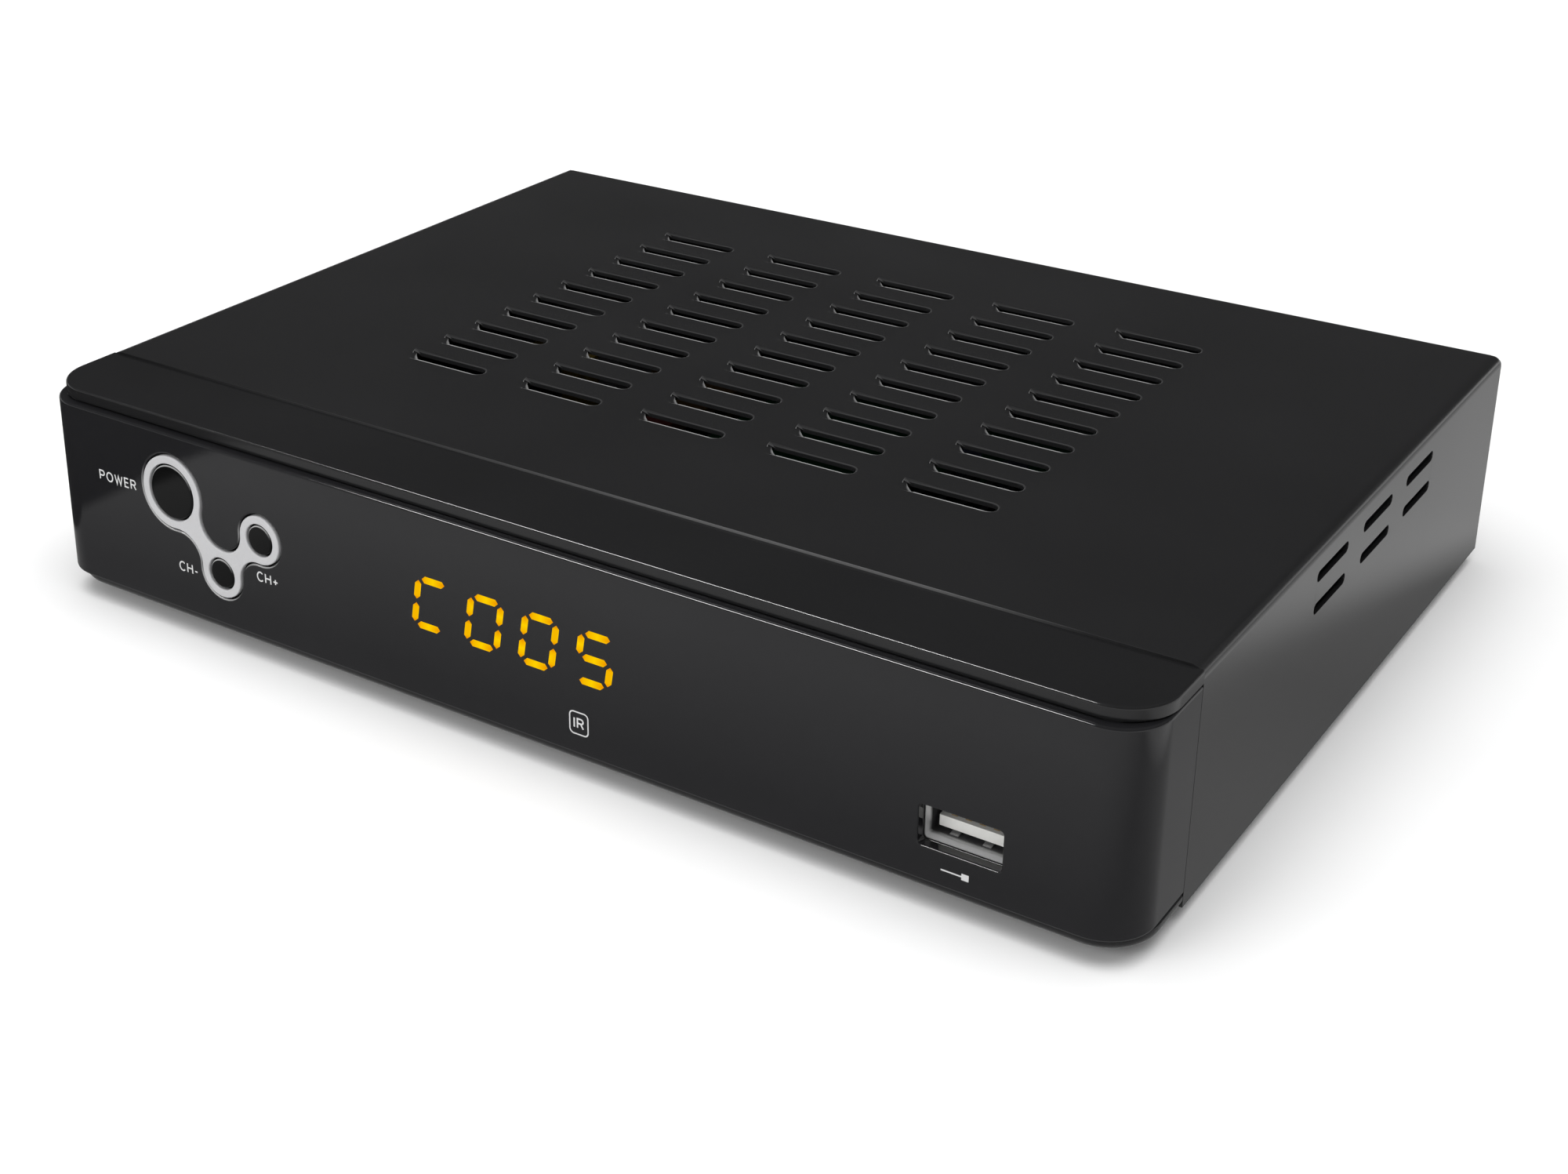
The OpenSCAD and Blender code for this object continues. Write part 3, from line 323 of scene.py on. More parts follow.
def slot_loop(cx, cy, length_of, width, grow=0.0, steps=10):
    """Outline of a slot with round ends along the first axis."""
    half = (length_of - width) / 2
    radius = width / 2 + grow
    return arc(cx + half, cy, radius, -90, 90, steps) + arc(cx - half, cy, radius, 90, 270, steps)


def circle_loop(cx, cy, radius, steps=48):
    """Outline of a circle."""
    return arc(cx, cy, radius, 0, 360, steps)[:-1]


def box_loop(cx, cy, width, height, radius, steps=5):
    """Outline of a box with round corners."""
    w, h = width / 2 - radius, height / 2 - radius
    out = []
    for k, (u, v) in enumerate(((w, h), (-w, h), (-w, -h), (w, -h))):
        out += arc(cx + u, cy + v, radius, 90 * k, 90 * k + 90, steps)
    return out


def rounding(radius, steps=ROUND_STEPS):
    """Pairs of inset and fall along a quarter round, from flat to upright."""
    out = []
    for k in range(steps + 1):
        a = math.pi / 2 * k / steps
        out.append((radius * (1 - math.sin(a)), radius * (1 - math.cos(a))))
    return out


def front_path(half, front, radius, inset, back=SEAM_BACK, steps=14):
    """Plan of the moulded front from the left seam round to the right seam."""
    r = radius - inset
    left, right = radius - half, half - radius
    y = front + radius
    return ([(inset - half, back)] + arc(left, y, r, 180, 270, steps) + arc(right, y, r, 270, 360, steps)
            + [(half - inset, back)])


class Neck:
    """Two round fillets that draw in the trim between two of its rings."""

    def __init__(self, at1, r1, at2, r2, fillet):
        self.fillet = fillet
        a, b = Vector(at1), Vector(at2)
        span = (b - a).length
        along = (b - a) / span
        side = Vector((-along.y, along.x))
        far1, far2 = r1 + fillet, r2 + fillet
        reach = (far1 ** 2 - far2 ** 2 + span ** 2) / (2 * span)
        aside = math.sqrt(far1 ** 2 - reach ** 2)
        self.left = a + along * reach + side * aside
        self.right = a + along * reach - side * aside


def heading(a, b):
    """Angle from one place to another, in degrees."""
    return math.degrees(math.atan2(b[1] - a[1], b[0] - a[0]))


def turn(centre, radius, start, end, clockwise, steps):
    """Arc between two headings, one way round."""
    if clockwise and end > start:
        end -= 360
    if not clockwise and end < start:
        end += 360
    return arc(centre[0], centre[1], radius, start, end, steps)


def trim_loop(sizes, grow):
    """Outline of the silver trim, grown all round."""
    big = sizes.power_hole / 2 + sizes.rim + grow
    small = sizes.channel_hole / 2 + sizes.rim + grow
    long_neck = Neck(POWER_AT, big, DOWN_AT, small, sizes.long_fillet - grow)
    short_neck = Neck(DOWN_AT, small, UP_AT, small, sizes.short_fillet - grow)
    out = []
    walk = [(POWER_AT, big, long_neck.left, long_neck.right, False, 40),
            (long_neck.right, long_neck.fillet, POWER_AT, DOWN_AT, True, 12),
            (DOWN_AT, small, long_neck.right, short_neck.right, False, 16),
            (short_neck.right, short_neck.fillet, DOWN_AT, UP_AT, True, 12),
            (UP_AT, small, short_neck.right, short_neck.left, False, 32),
            (short_neck.left, short_neck.fillet, UP_AT, DOWN_AT, True, 12),
            (DOWN_AT, small, short_neck.left, long_neck.left, False, 10),
            (long_neck.left, long_neck.fillet, DOWN_AT, POWER_AT, True, 12)]
    for centre, radius, start, end, clockwise, steps in walk:
        out += turn(centre, radius, heading(centre, start), heading(centre, end), clockwise, steps)[:-1]
    return out


def round_outline(at, radius, steps=48):
    """Circle as a function of how far it is grown."""
    return lambda grow: circle_loop(at[0], at[1], radius + grow, steps)


def box_outline(at, width, height, corner=0.7):
    """Box with round corners as a function of how far it is grown."""
    return lambda grow: box_loop(at[0], at[1], width + 2 * grow, height + 2 * grow, corner + grow)


def lipped(outline, lip, front, back, steps=3):
    """Rows of an upright wall along an outline: rounded lip, then the wall."""
    rows = [upright(outline(inset), front + fall) for inset, fall in rounding(lip, steps)]
    return rows + [upright(outline(0.0), back)]


def wrap_shell(bm, half, front, radius, thick, z_low, z_high, edge, holes):
    """Upright wall that wraps the front and both corners, with holes in its flat part; gives their loops."""
    turns = rounding(edge)
    rows = [(thick, z_low)] + [(inset, z_low + fall) for inset, fall in turns]
    rows += [(inset, z_high - fall) for inset, fall in reversed(turns)] + [(thick, z_high)]
    loops = [ring(bm, level(front_path(half, front, radius, inset), z)) for inset, z in rows]
    count = len(loops[0])
    flat = count // 2 - 1
    face_row = len(turns)
    for k, (a, b) in enumerate(zip(loops, loops[1:] + loops[:1])):
        for i in range(count - 1):
            if i == flat and k in (face_row, len(loops) - 1):
                continue
            bm.faces.new((a[i], a[i + 1], b[i + 1], b[i]))
    bm.faces.new([loop[0] for loop in loops])
    bm.faces.new([loop[-1] for loop in reversed(loops)])
    cut = [stack(bm, steps) for steps in holes]
    for low, high, end in ((loops[face_row], loops[face_row + 1], 0), (loops[-1], loops[0], -1)):
        frame_loop = [low[flat], low[flat + 1], high[flat + 1], high[flat]]
        fill(bm, [frame_loop] + [loops_of[end] for loops_of in cut])
    return cut


def front_plate(bm, half, front, radius, rows, back=SEAM_BACK):
    """Flat plate with the moulded front's plan, from rows of inset and height."""
    capped(bm, [level(front_path(half, front, radius, inset, back), z) for inset, z in rows])


def plate(bm, outers, holes=()):
    """Closed plate: loops from front to back, with holes."""
    outer = stack(bm, outers)
    inner = [stack(bm, rows) for rows in holes]
    for end in (0, -1):
        fill(bm, [outer[end]] + [loops[end] for loops in inner])


def block(bm, low, high, edge):
    """Closed block with softened edges between two corners."""
    mid = ((low[0] + high[0]) / 2, (low[1] + high[1]) / 2)
    wide, deep = high[0] - low[0], high[1] - low[1]
    least = 0.05
    rows = []
    for inset, z in ((edge, low[2]), (0.0, low[2] + edge), (0.0, high[2] - edge), (edge, high[2])):
        loop = box_loop(*mid, wide - 2 * inset, deep - 2 * inset, max(edge - inset, least), 2)
        rows.append(level(loop, z))
    plate(bm, rows)


def lathe(bm, at, profile, axis="Y", steps=64):
    """Turned piece: profile of radius and place along the axis; a zero radius closes it. Gives its loops."""
    spread = upright if axis == "Y" else level
    loops = []
    for radius, along in profile:
        points = circle_loop(*at, radius, steps) if radius else [at]
        loops.append(ring(bm, spread(points, along)))
    for a, b in zip(loops, loops[1:]):
        if len(a) > 1 and len(b) > 1:
            bridge(bm, a, b)
        else:
            tip, rim = (a, b) if len(a) == 1 else (b, a)
            for k in range(len(rim)):
                bm.faces.new((tip[0], rim[k], rim[(k + 1) % len(rim)]))
    return loops


def paint_highlight_line(verts, layer, toward, bare_and_highlight):
    """Paints a highlight on a closed upright row of vertices where its inner side faces a direction."""
    for k, vert in enumerate(verts):
        along = (verts[(k + 1) % len(verts)].co - verts[k - 1].co).normalized()
        vert[layer] = bare_and_highlight * max(0.0, Vector((-along.z, 0.0, along.x)).dot(toward))


def wire(tree, sockets, values):
    """Sets inputs to values or to the outputs of other nodes."""
    for name, value in values.items():
        if isinstance(value, bpy.types.NodeSocket):
            tree.links.new(value, sockets[name])
        else:
            sockets[name].default_value = value


def add_node(tree, kind, values=None, **options):
    """New shader node with its options and inputs; gives its outputs."""
    made = tree.nodes.new("ShaderNode" + kind)
    for name, value in options.items():
        setattr(made, name, value)
    wire(tree, made.inputs, values or {})
    return made.outputs


def mix(tree, factor, a, b, blend="MIX"):
    """Blend of two colours."""
    values = {"Factor": factor, "A": a, "B": b}
    return add_node(tree, "Mix", values, data_type="RGBA", blend_type=blend)["Result"]


def remap(tree, value, low, high, start, end):
    """Map of an output from one range of values to another."""
    values = {"Value": value, "From Min": low, "From Max": high, "To Min": start, "To Max": end}
    return add_node(tree, "MapRange", values)[0]


def shade_by(tree, value, stops):
    """Grey level that follows pairs of value and level."""
    low, high = stops[0][0], stops[-1][0]
    ramp = tree.nodes.new("ShaderNodeValToRGB")
    wire(tree, ramp.inputs, {"Fac": remap(tree, value, low, high, 0.0, 1.0)})
    marks = ramp.color_ramp.elements
    for k, (at, grey) in enumerate(stops):
        share = (at - low) / (high - low)
        mark = marks[k] if k < len(marks) else marks.new(share)
        mark.position = share
        mark.color = (grey, grey, grey, 1.0)
    return ramp.outputs["Color"]


def noise(tree, values):
    """Level that changes irregularly from place to place."""
    return add_node(tree, "TexNoise", values)["Fac"]


def spot_on(tree):
    """Place on the object, in metres."""
    return add_node(tree, "TexCoord")["Object"]


GRAIN_SOCKETS = (("INPUT", "Color", ("Tone A", "Tone B")),
                 ("INPUT", "Float", ("Gloss low", "Gloss high", "Grain scale", "Cloud scale")),
                 ("INPUT", "Vector", ("Stretch",)),
                 ("OUTPUT", "Color", ("Colour",)),
                 ("OUTPUT", "Float", ("Roughness", "Height")))
FINE_SHARE, FINE_DETAIL, CLOUD_DETAIL = 0.35, 3.0, 2.0
GRAIN_RANGE = (0.3, 0.7)


def grain_group():
    """Shader group: fine moulded or painted grain with slow changes of tone and gloss."""
    group = bpy.data.node_groups.get("Fine grain")
    if group:
        return group
    group = bpy.data.node_groups.new("Fine grain", "ShaderNodeTree")
    for way, kind, names in GRAIN_SOCKETS:
        for name in names:
            group.interface.new_socket(name=name, in_out=way, socket_type="NodeSocket" + kind)
    entry = group.nodes.new("NodeGroupInput").outputs
    leave = group.nodes.new("NodeGroupOutput").inputs
    spot = spot_on(group)
    drawn = add_node(group, "VectorMath", {0: spot, 1: entry["Stretch"]}, operation="MULTIPLY")[0]
    fine = noise(group, {"Vector": drawn, "Scale": entry["Grain scale"], "Detail": FINE_DETAIL})
    cloud = noise(group, {"Vector": spot, "Scale": entry["Cloud scale"], "Detail": CLOUD_DETAIL})
    slow = add_node(group, "Math", {0: cloud, 1: 1 - FINE_SHARE}, operation="MULTIPLY")[0]
    both = add_node(group, "Math", {0: fine, 1: FINE_SHARE, 2: slow}, operation="MULTIPLY_ADD")[0]
    share = remap(group, both, *GRAIN_RANGE, 0.0, 1.0)
    gloss = remap(group, share, 0.0, 1.0, entry["Gloss low"], entry["Gloss high"])
    wire(group, leave, {"Colour": mix(group, share, entry["Tone A"], entry["Tone B"]), "Roughness": gloss,
                        "Height": fine})
    return group


def principled(name):
    """New material, its node tree and its shader's inputs."""
    mat = bpy.data.materials.new(name)
    mat.use_nodes = True
    return mat, mat.node_tree, mat.node_tree.nodes["Principled BSDF"].inputs


BUMP_HEIGHT = 0.0004
COAT_GLOSS = 0.06


def finish(name, colour, spread=0.15, gloss=(0.3, 0.38), grain=1500.0, depth=0.05, metal=0.0, coat=0.0,
           stretch=(1.0, 1.0, 1.0), cloud=25.0, specular=0.5, bare_and_highlight=None):
    """Material with grain: colour, gloss and relief change over the surface; the bare-edge colour shows
    where the edge attribute is set, on bare cut edges and as painted highlights.
    """
    mat = bpy.data.materials.get(name)
    if mat:
        return mat
    mat, tree, shader = principled(name)
    dark, light = [tuple(c * f for c in colour) + (1.0,) for f in (1 - spread, 1 + spread)]
    grained = add_node(tree, "Group", {"Tone A": dark, "Tone B": light, "Gloss low": gloss[0],
                                       "Gloss high": gloss[1], "Grain scale": grain, "Cloud scale": cloud,
                                       "Stretch": stretch}, node_tree=grain_group())
    paint = grained["Colour"]
    if bare_and_highlight:
        edge = add_node(tree, "Attribute", attribute_name="edge")["Fac"]
        paint = mix(tree, edge, paint, tuple(bare_and_highlight) + (1.0,))
    bump = add_node(tree, "Bump", {"Strength": depth, "Distance": BUMP_HEIGHT, "Height": grained["Height"]})
    wire(tree, shader, {"Metallic": metal, "Specular IOR Level": specular, "Coat Weight": coat,
                        "Coat Roughness": COAT_GLOSS, "Base Color": paint, "Normal": bump["Normal"],
                        "Roughness": grained["Roughness"]})
    return mat


def cover_paint(colours):
    """Satin black paint of the steel."""
    return finish("Satin black paint", colours.cover, spread=0.12, gloss=(0.17, 0.22), grain=2200.0,
                  depth=0.01, bare_and_highlight=colours.bare_and_highlight)


def glowing(name):
    """New material that only glows, its node tree and its shader's inputs."""
    mat, tree, shader = principled(name)
    wire(tree, shader, {"Base Color": BLACK, "Specular IOR Level": 0.0, "Emission Strength": 1.0})
    return mat, tree, shader


# Rim of a slot, inwards: share of the way, then heights and painted highlight of the far, near and slanted
# edges; the light line is partly bare cut steel and mostly painted highlight, strongest on the near edge
VENT_RIM = ((0.0, (0.0, 0.0, 0.0), (0.0, 0.0, 0.0)), (0.27, (0.0, 0.1, -0.04), (0.0, 0.0, 0.0)),
            (0.5, (-0.01, 0.17, -0.12), (0.0, 0.65, 0.0)), (0.72, (-0.03, 0.17, -0.22), (0.06, 1.0, 0.0)),
            (0.92, (-0.12, 0.08, -0.3), (0.0, 1.0, 0.5)), (1.0, (-0.8, -0.25, -0.5), (0.0, 0.4, 0.6)))

# Painted highlight line along the cover's front edge: depth, then shares of the way across and how bright
HIGHLIGHT_D = 0.2
FRONT_HIGHLIGHT = ((-1.0, 0.0), (-0.45, 0.05), (-0.1, 0.15), (0.2, 0.28), (0.6, 0.28), (0.75, 0.12),
              (0.85, 0.03), (1.0, 0.0))

# Columns and rows of slots in the top and in each side
TOP_SLOTS = (5, 10)
SIDE_SLOTS = (3, 2)


class CONVERTER_OT_cover(bpy.types.Operator):
    """Bent steel cover with pressed slots"""

    bl_idname = "converter.cover"
    bl_label = "Cover"

    def execute(self, context):
        sizes, colours = settings()
        bm = bmesh.new()
        edge = bm.verts.layers.float.new("edge")
        flat = HALF_W - sizes.bend
        back = CASE_D - sizes.back_bend
        lines = [[(share * flat, y, CASE_H) for share, bare_and_highlight in FRONT_HIGHLIGHT] for y in (0, HIGHLIGHT_D)]
        front, behind = stack(bm, lines, closed=False)
        # Painted highlight along the cover's front edge, brightest on its right half
        for vert, (share, bare_and_highlight) in zip(front, FRONT_HIGHLIGHT):
            vert[edge] = bare_and_highlight
        corners = behind + ring(bm, [(flat, back, CASE_H), (-flat, back, CASE_H)])
        columns, rows = TOP_SLOTS
        across = [(i - columns // 2) * sizes.vent_step_x for i in range(columns)]
        along = [sizes.vent_front + j * sizes.vent_step_y for j in range(rows)]
        vents = [self.vent(bm, sizes, edge, x, y) for x in across for y in along]
        fill(bm, [corners] + vents)
        for side in (-1, 1):
            self.side(bm, sizes, side, flat, back)
        self.lip(bm, sizes, flat, back)
        bmesh.ops.remove_doubles(bm, verts=bm.verts, dist=JOIN_WIDE)
        bmesh.ops.recalc_face_normals(bm, faces=bm.faces)
        top = max(bm.faces, key=lambda f: f.calc_center_median().z)
        if top.normal.z < 0:
            bmesh.ops.reverse_faces(bm, faces=bm.faces)
        obj = sheet_piece("cover_shell", bm, cover_paint(colours), sizes.sheet)
        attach(obj, "case")
        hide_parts("top_cover")
        return {"FINISHED"}

    def vent(self, bm, sizes, edge, x, y):
        """One pressed slot, cut slanted at its left and raised in front; gives its outer loop."""
        steps, fade = 10, 3
        dish_back, clear = 0.35, 0.3
        half = (sizes.vent_length - sizes.vent_width) / 2
        radius = sizes.vent_width / 2
        outer = slot_loop(x, y + dish_back, sizes.vent_length, sizes.vent_width, sizes.vent_dish, steps)
        hole = arc(x + half, y, radius, -90, 90, steps)
        left = x - half - radius + clear
        hole += [(left + sizes.vent_cut * k / steps, y + radius - 2 * radius * k / steps)
                 for k in range(steps + 1)]
        outer[-1] = (hole[-1][0] - clear, outer[-1][1])
        near = [max(0.0, 1 - fade * k / steps) for k in range(steps + 1)] + [0.0] * steps + [1.0]
        slant = [0.0] * (steps + 2) + [1.0] * (steps - 1) + [0.0]
        shares = [(1 - n - s, n, s) for n, s in zip(near, slant)]
        rows = []
        for part, heights, bare_and_highlight_share in VENT_RIM:
            rises = [sum(a * b for a, b in zip(share, heights)) for share in shares]
            rows.append([(a[0] + (b[0] - a[0]) * part, a[1] + (b[1] - a[1]) * part, CASE_H + rise)
                         for a, b, rise in zip(outer, hole, rises)])
        loops = stack(bm, rows)
        # Painted highlight along each rim, mostly on the near edge, over a little bare cut steel
        for verts, (part, heights, bare_and_highlight_share) in zip(loops, VENT_RIM):
            for vert, share in zip(verts, shares):
                vert[edge] = max(a * b for a, b in zip(share, bare_and_highlight_share))
        return loops[0]

    def side(self, bm, sizes, side, flat, back):
        """One bend and one upright side with its slots."""
        bend = [(side * x, z) for x, z in arc(flat, CASE_H - sizes.bend, sizes.bend, 90, 0, BEND_STEPS)]
        ends = [y for y, z in arc(back, 0.0, sizes.back_bend, 90, 0, BEND_STEPS)]
        lines = [[(x, 0, z), (x, HIGHLIGHT_D, z), (x, back, z), (x, y, z)] for (x, z), y in zip(bend, ends)]
        rows = stack(bm, lines, closed=False)
        x = side * HALF_W
        edge = ring(bm, [(x, CASE_D, 0), (x, 0, 0)])
        slots = []
        for i in range(SIDE_SLOTS[0]):
            for j in range(SIDE_SLOTS[1]):
                middle = CASE_H - sizes.side_drop - j * sizes.side_rows
                loop = slot_loop(sizes.side_front + i * sizes.side_step, middle, sizes.side_length,
                                 sizes.side_width)
                slots.append(ring(bm, [(x, y, z) for y, z in loop]))
        fill(bm, [rows[-1] + edge] + slots)

    def lip(self, bm, sizes, flat, back):
        """Bend at the back and the lip with its screw holes."""
        head, bore = 2.6, 1.55
        bend = arc(back, CASE_H - sizes.back_bend, sizes.back_bend, 90, 0, BEND_STEPS)
        rows = stack(bm, [[(-flat, y, z), (flat, y, z)] for y, z in bend], closed=False)
        low = CASE_H - sizes.lip
        edge = ring(bm, [(flat, CASE_D, low), (-flat, CASE_D, low)])
        screw_z = centre_of("cover_screws")[2]
        reach = size_of("cover_screws")[0] / 2 - head
        holes = [ring(bm, upright(circle_loop(k * reach, screw_z, bore, 24), CASE_D)) for k in (-1, 0, 1)]
        fill(bm, [rows[-1] + edge] + holes)


class CONVERTER_OT_bezel(bpy.types.Operator):
    """Moulded frame: rounded cap, rounded lower band and the wall behind the fascia"""

    bl_idname = "converter.bezel"
    bl_label = "Bezel"

    def execute(self, context):
        sizes, colours = settings()
        gap, chamfer, thick, lap, wall_edge = 0.1, 0.2, 1.8, 0.05, 0.1
        cap_back = -0.03
        bm = bmesh.new()
        front = FASCIA_FRONT + sizes.ledge
        top = from_tray(BEZEL_HIGH.z)
        under = FASCIA_Z[1] + gap
        rows = [(chamfer, under), (0.0, under + chamfer)]
        rows += [(inset, top - fall) for inset, fall in reversed(rounding(sizes.cap_edge))]
        front_plate(bm, HALF_W, front, sizes.cap_round, rows, cap_back)
        low, high = from_tray(BEZEL_LOW.z), FASCIA_Z[0] - gap
        rows = [(inset, low + fall) for inset, fall in rounding(sizes.foot_edge, BEND_STEPS)]
        rows += [(0.0, high - chamfer), (chamfer, high)]
        front_plate(bm, HALF_W, front, sizes.cap_round, rows)
        inset = sizes.fascia + gap
        wall = FASCIA_FRONT + inset
        wrap_shell(bm, HALF_W - inset, wall, sizes.fascia_round - inset, thick, high - lap, under + lap,
                   wall_edge, self.windows(sizes, wall, wall + thick))
        self.tongues(bm, sizes, inset, thick)
        self.bosses(bm, wall + thick / 2)
        satin = finish("Satin black moulding", colours.bezel, spread=0.15, gloss=(0.13, 0.18), grain=1800.0,
                       depth=0.01)
        piece("bezel_frame", bm, satin, "case", ["front_bezel"])
        return {"FINISHED"}

    def windows(self, sizes, front, back):
        """Holes in the wall: buttons, port, display and remote eye."""
        play, lip, lens = 0.3, 0.2, 2.6
        wide, tall = size_of("led_display")[::2]
        outlines = [round_outline(at, hole / 2) for name, body, at, hole in buttons(sizes)]
        outlines += [box_outline(USB_AT, sizes.usb_width, sizes.usb_height),
                     box_outline(centre_of("led_display")[::2], wide + 2 * play, tall + 2 * play),
                     round_outline(EYE_AT, lens)]
        return [lipped(outline, lip, front, back) for outline in outlines]

    def tongues(self, bm, sizes, inset, thick):
        """Tongues that reach under the cover at the top and at both sides."""
        reach, sunk, lap = 5.0, 1.0, 0.15
        root = SEAM_BACK - sunk
        end_gap, under, edge = 2.0, 1.7, 0.3
        side_in, side_low, side_drop, side_edge = 0.3, 11.0, 4.0, 0.2
        roof = CASE_H - sizes.sheet
        inner = HALF_W - inset - thick
        block(bm, (end_gap - inner, root, roof - under), (inner - end_gap, reach, roof - lap), edge)
        for x in (-inner - thick + side_in, inner + side_in):
            block(bm, (x, root, side_low), (x + thick - 2 * side_in, reach, roof - side_drop), side_edge)

    def bosses(self, bm, root):
        """Round posts that take the bezel's screws and the front board's screws."""
        bore, outer, head, base = 1.3, 2.9, 2.6, 1.0
        blind = root + base
        low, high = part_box("bezel_screws")
        z = centre_of("bezel_screws")[2]
        posts = [((x, z), 0.0) for x in (low.x / MM + head, 0.0, high.x / MM - head)]
        low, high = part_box("front_board_screws")
        board = from_seam(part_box("front_board")[0].y)
        posts += [((x, z), board) for x in (low.x / MM + head, high.x / MM - head)
                  for z in (from_tray(low.z) + head, from_tray(high.z) - head)]
        for at, end in posts:
            profile = [(0.0, root), (outer, root), (outer, end), (bore, end), (bore, blind), (0.0, blind)]
            lathe(bm, at, profile, steps=32)


# Directions that the painted highlight lines on the pocket's lip and on the buttons' rims face with their
# inner side
POCKET_LIT = Vector((0.5, 0.0, 0.87))
RIM_LIT = Vector((0.3, 0.0, -0.95))


class CONVERTER_OT_fascia(bpy.types.Operator):
    """Glossy fascia with its recess for the trim and the port's opening"""

    bl_idname = "converter.fascia"
    bl_label = "Fascia"

    def execute(self, context):
        sizes, colours = settings()
        gap, lip, edge_round = 0.4, 0.3, 0.5
        bm = bmesh.new()
        edge = bm.verts.layers.float.new("edge")
        back = FASCIA_FRONT + sizes.fascia
        holes = [lipped(outline, lip, FASCIA_FRONT, back) for outline in
                 (lambda grow: trim_loop(sizes, gap + grow),
                  box_outline(USB_AT, sizes.usb_width, sizes.usb_height))]
        pocket = wrap_shell(bm, HALF_W, FASCIA_FRONT, sizes.fascia_round, sizes.fascia, *FASCIA_Z,
                            edge_round, holes)[0]
        # Painted highlight line on the trim pocket's lip at its lower left
        for row in pocket[1:3]:
            paint_highlight_line(row, edge, POCKET_LIT, 1.0)
        gloss = finish("Dark gloss moulding", colours.fascia, spread=0.1, gloss=(0.06, 0.09), grain=600.0,
                       depth=0.008, bare_and_highlight=colours.bare_and_highlight)
        piece("fascia_wrap", bm, gloss, "case", ["front_fascia"])
        return {"FINISHED"}


class CONVERTER_OT_trim(bpy.types.Operator):
    """Satin silver trim of three joined rings"""

    bl_idname = "converter.trim"
    bl_label = "Trim"

    def execute(self, context):
        sizes, colours = settings()
        edge = 0.22
        bm = bmesh.new()
        back = from_seam(TRIM_HIGH.y)
        outlines = [lambda grow: trim_loop(sizes, -grow)]
        outlines += [round_outline(at, hole / 2, 64) for name, body, at, hole in buttons(sizes)]
        outer, *holes = [lipped(outline, edge, TRIM_FRONT, back, ROUND_STEPS) for outline in outlines]
        plate(bm, outer, holes)
        silver = finish("Satin silver", colours.trim, spread=0.06, gloss=(0.32, 0.4), grain=2600.0,
                        depth=0.05, metal=0.15)
        piece("ring_trim", bm, silver, "case", ["button_trim"])
        return {"FINISHED"}


class CONVERTER_OT_buttons(bpy.types.Operator):
    """Three glossy buttons, each with its collar and stem"""

    bl_idname = "converter.buttons"
    bl_label = "Buttons"

    def execute(self, context):
        sizes, colours = settings()
        proud, play, edge, dome = 0.05, 0.35, 0.35, 0.12
        dome_steps, edge_steps = 8, 6
        collar_thick, stem_end, stem_r, rim_highlight = 1.0, 0.5, 1.75, 0.9
        gloss = finish("Glossy black button", colours.button, spread=0.1, gloss=(0.1, 0.14), grain=700.0,
                       depth=0.008, specular=0.2, bare_and_highlight=colours.bare_and_highlight)
        for name, body, at, hole in buttons(sizes):
            face, back = TRIM_FRONT + proud, from_seam(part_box(name)[1].y)
            cap = hole / 2 - play
            profile = [(0.0, face)]
            for k in range(1, dome_steps + 1):
                part = k / dome_steps * (cap - edge)
                profile.append((part, face + dome * (part / cap) ** 2))
            rim, turn_from = profile[-1][1], len(profile)
            profile += [(cap - inset, rim + fall) for inset, fall in rounding(edge, edge_steps)[1:]]
            collar = size_of(name)[0] / 2
            behind = back - stem_end
            profile += [(cap, behind - collar_thick), (collar, behind - collar_thick), (collar, behind),
                        (stem_r, behind), (stem_r, back), (0.0, back)]
            bm = bmesh.new()
            layer = bm.verts.layers.float.new("edge")
            loops = lathe(bm, at, profile)
            # Painted highlight crescent on each button's rim
            for row in loops[turn_from + 1:turn_from + 4]:
                paint_highlight_line(row, layer, RIM_LIT, rim_highlight)
            piece(name + "_cap", bm, gloss, body, [name])
        return {"FINISHED"}


# Insets and heights of a lit bar's rows, then how bright it is round its outline
BAR_ROWS = ((0.12, 0.05), (0.0, 0.03), (0.0, 0.0))
BAR_GLOW = (0.0, 0.55, 1.0, 0.55, 0.0, 0.55, 1.0, 0.55)


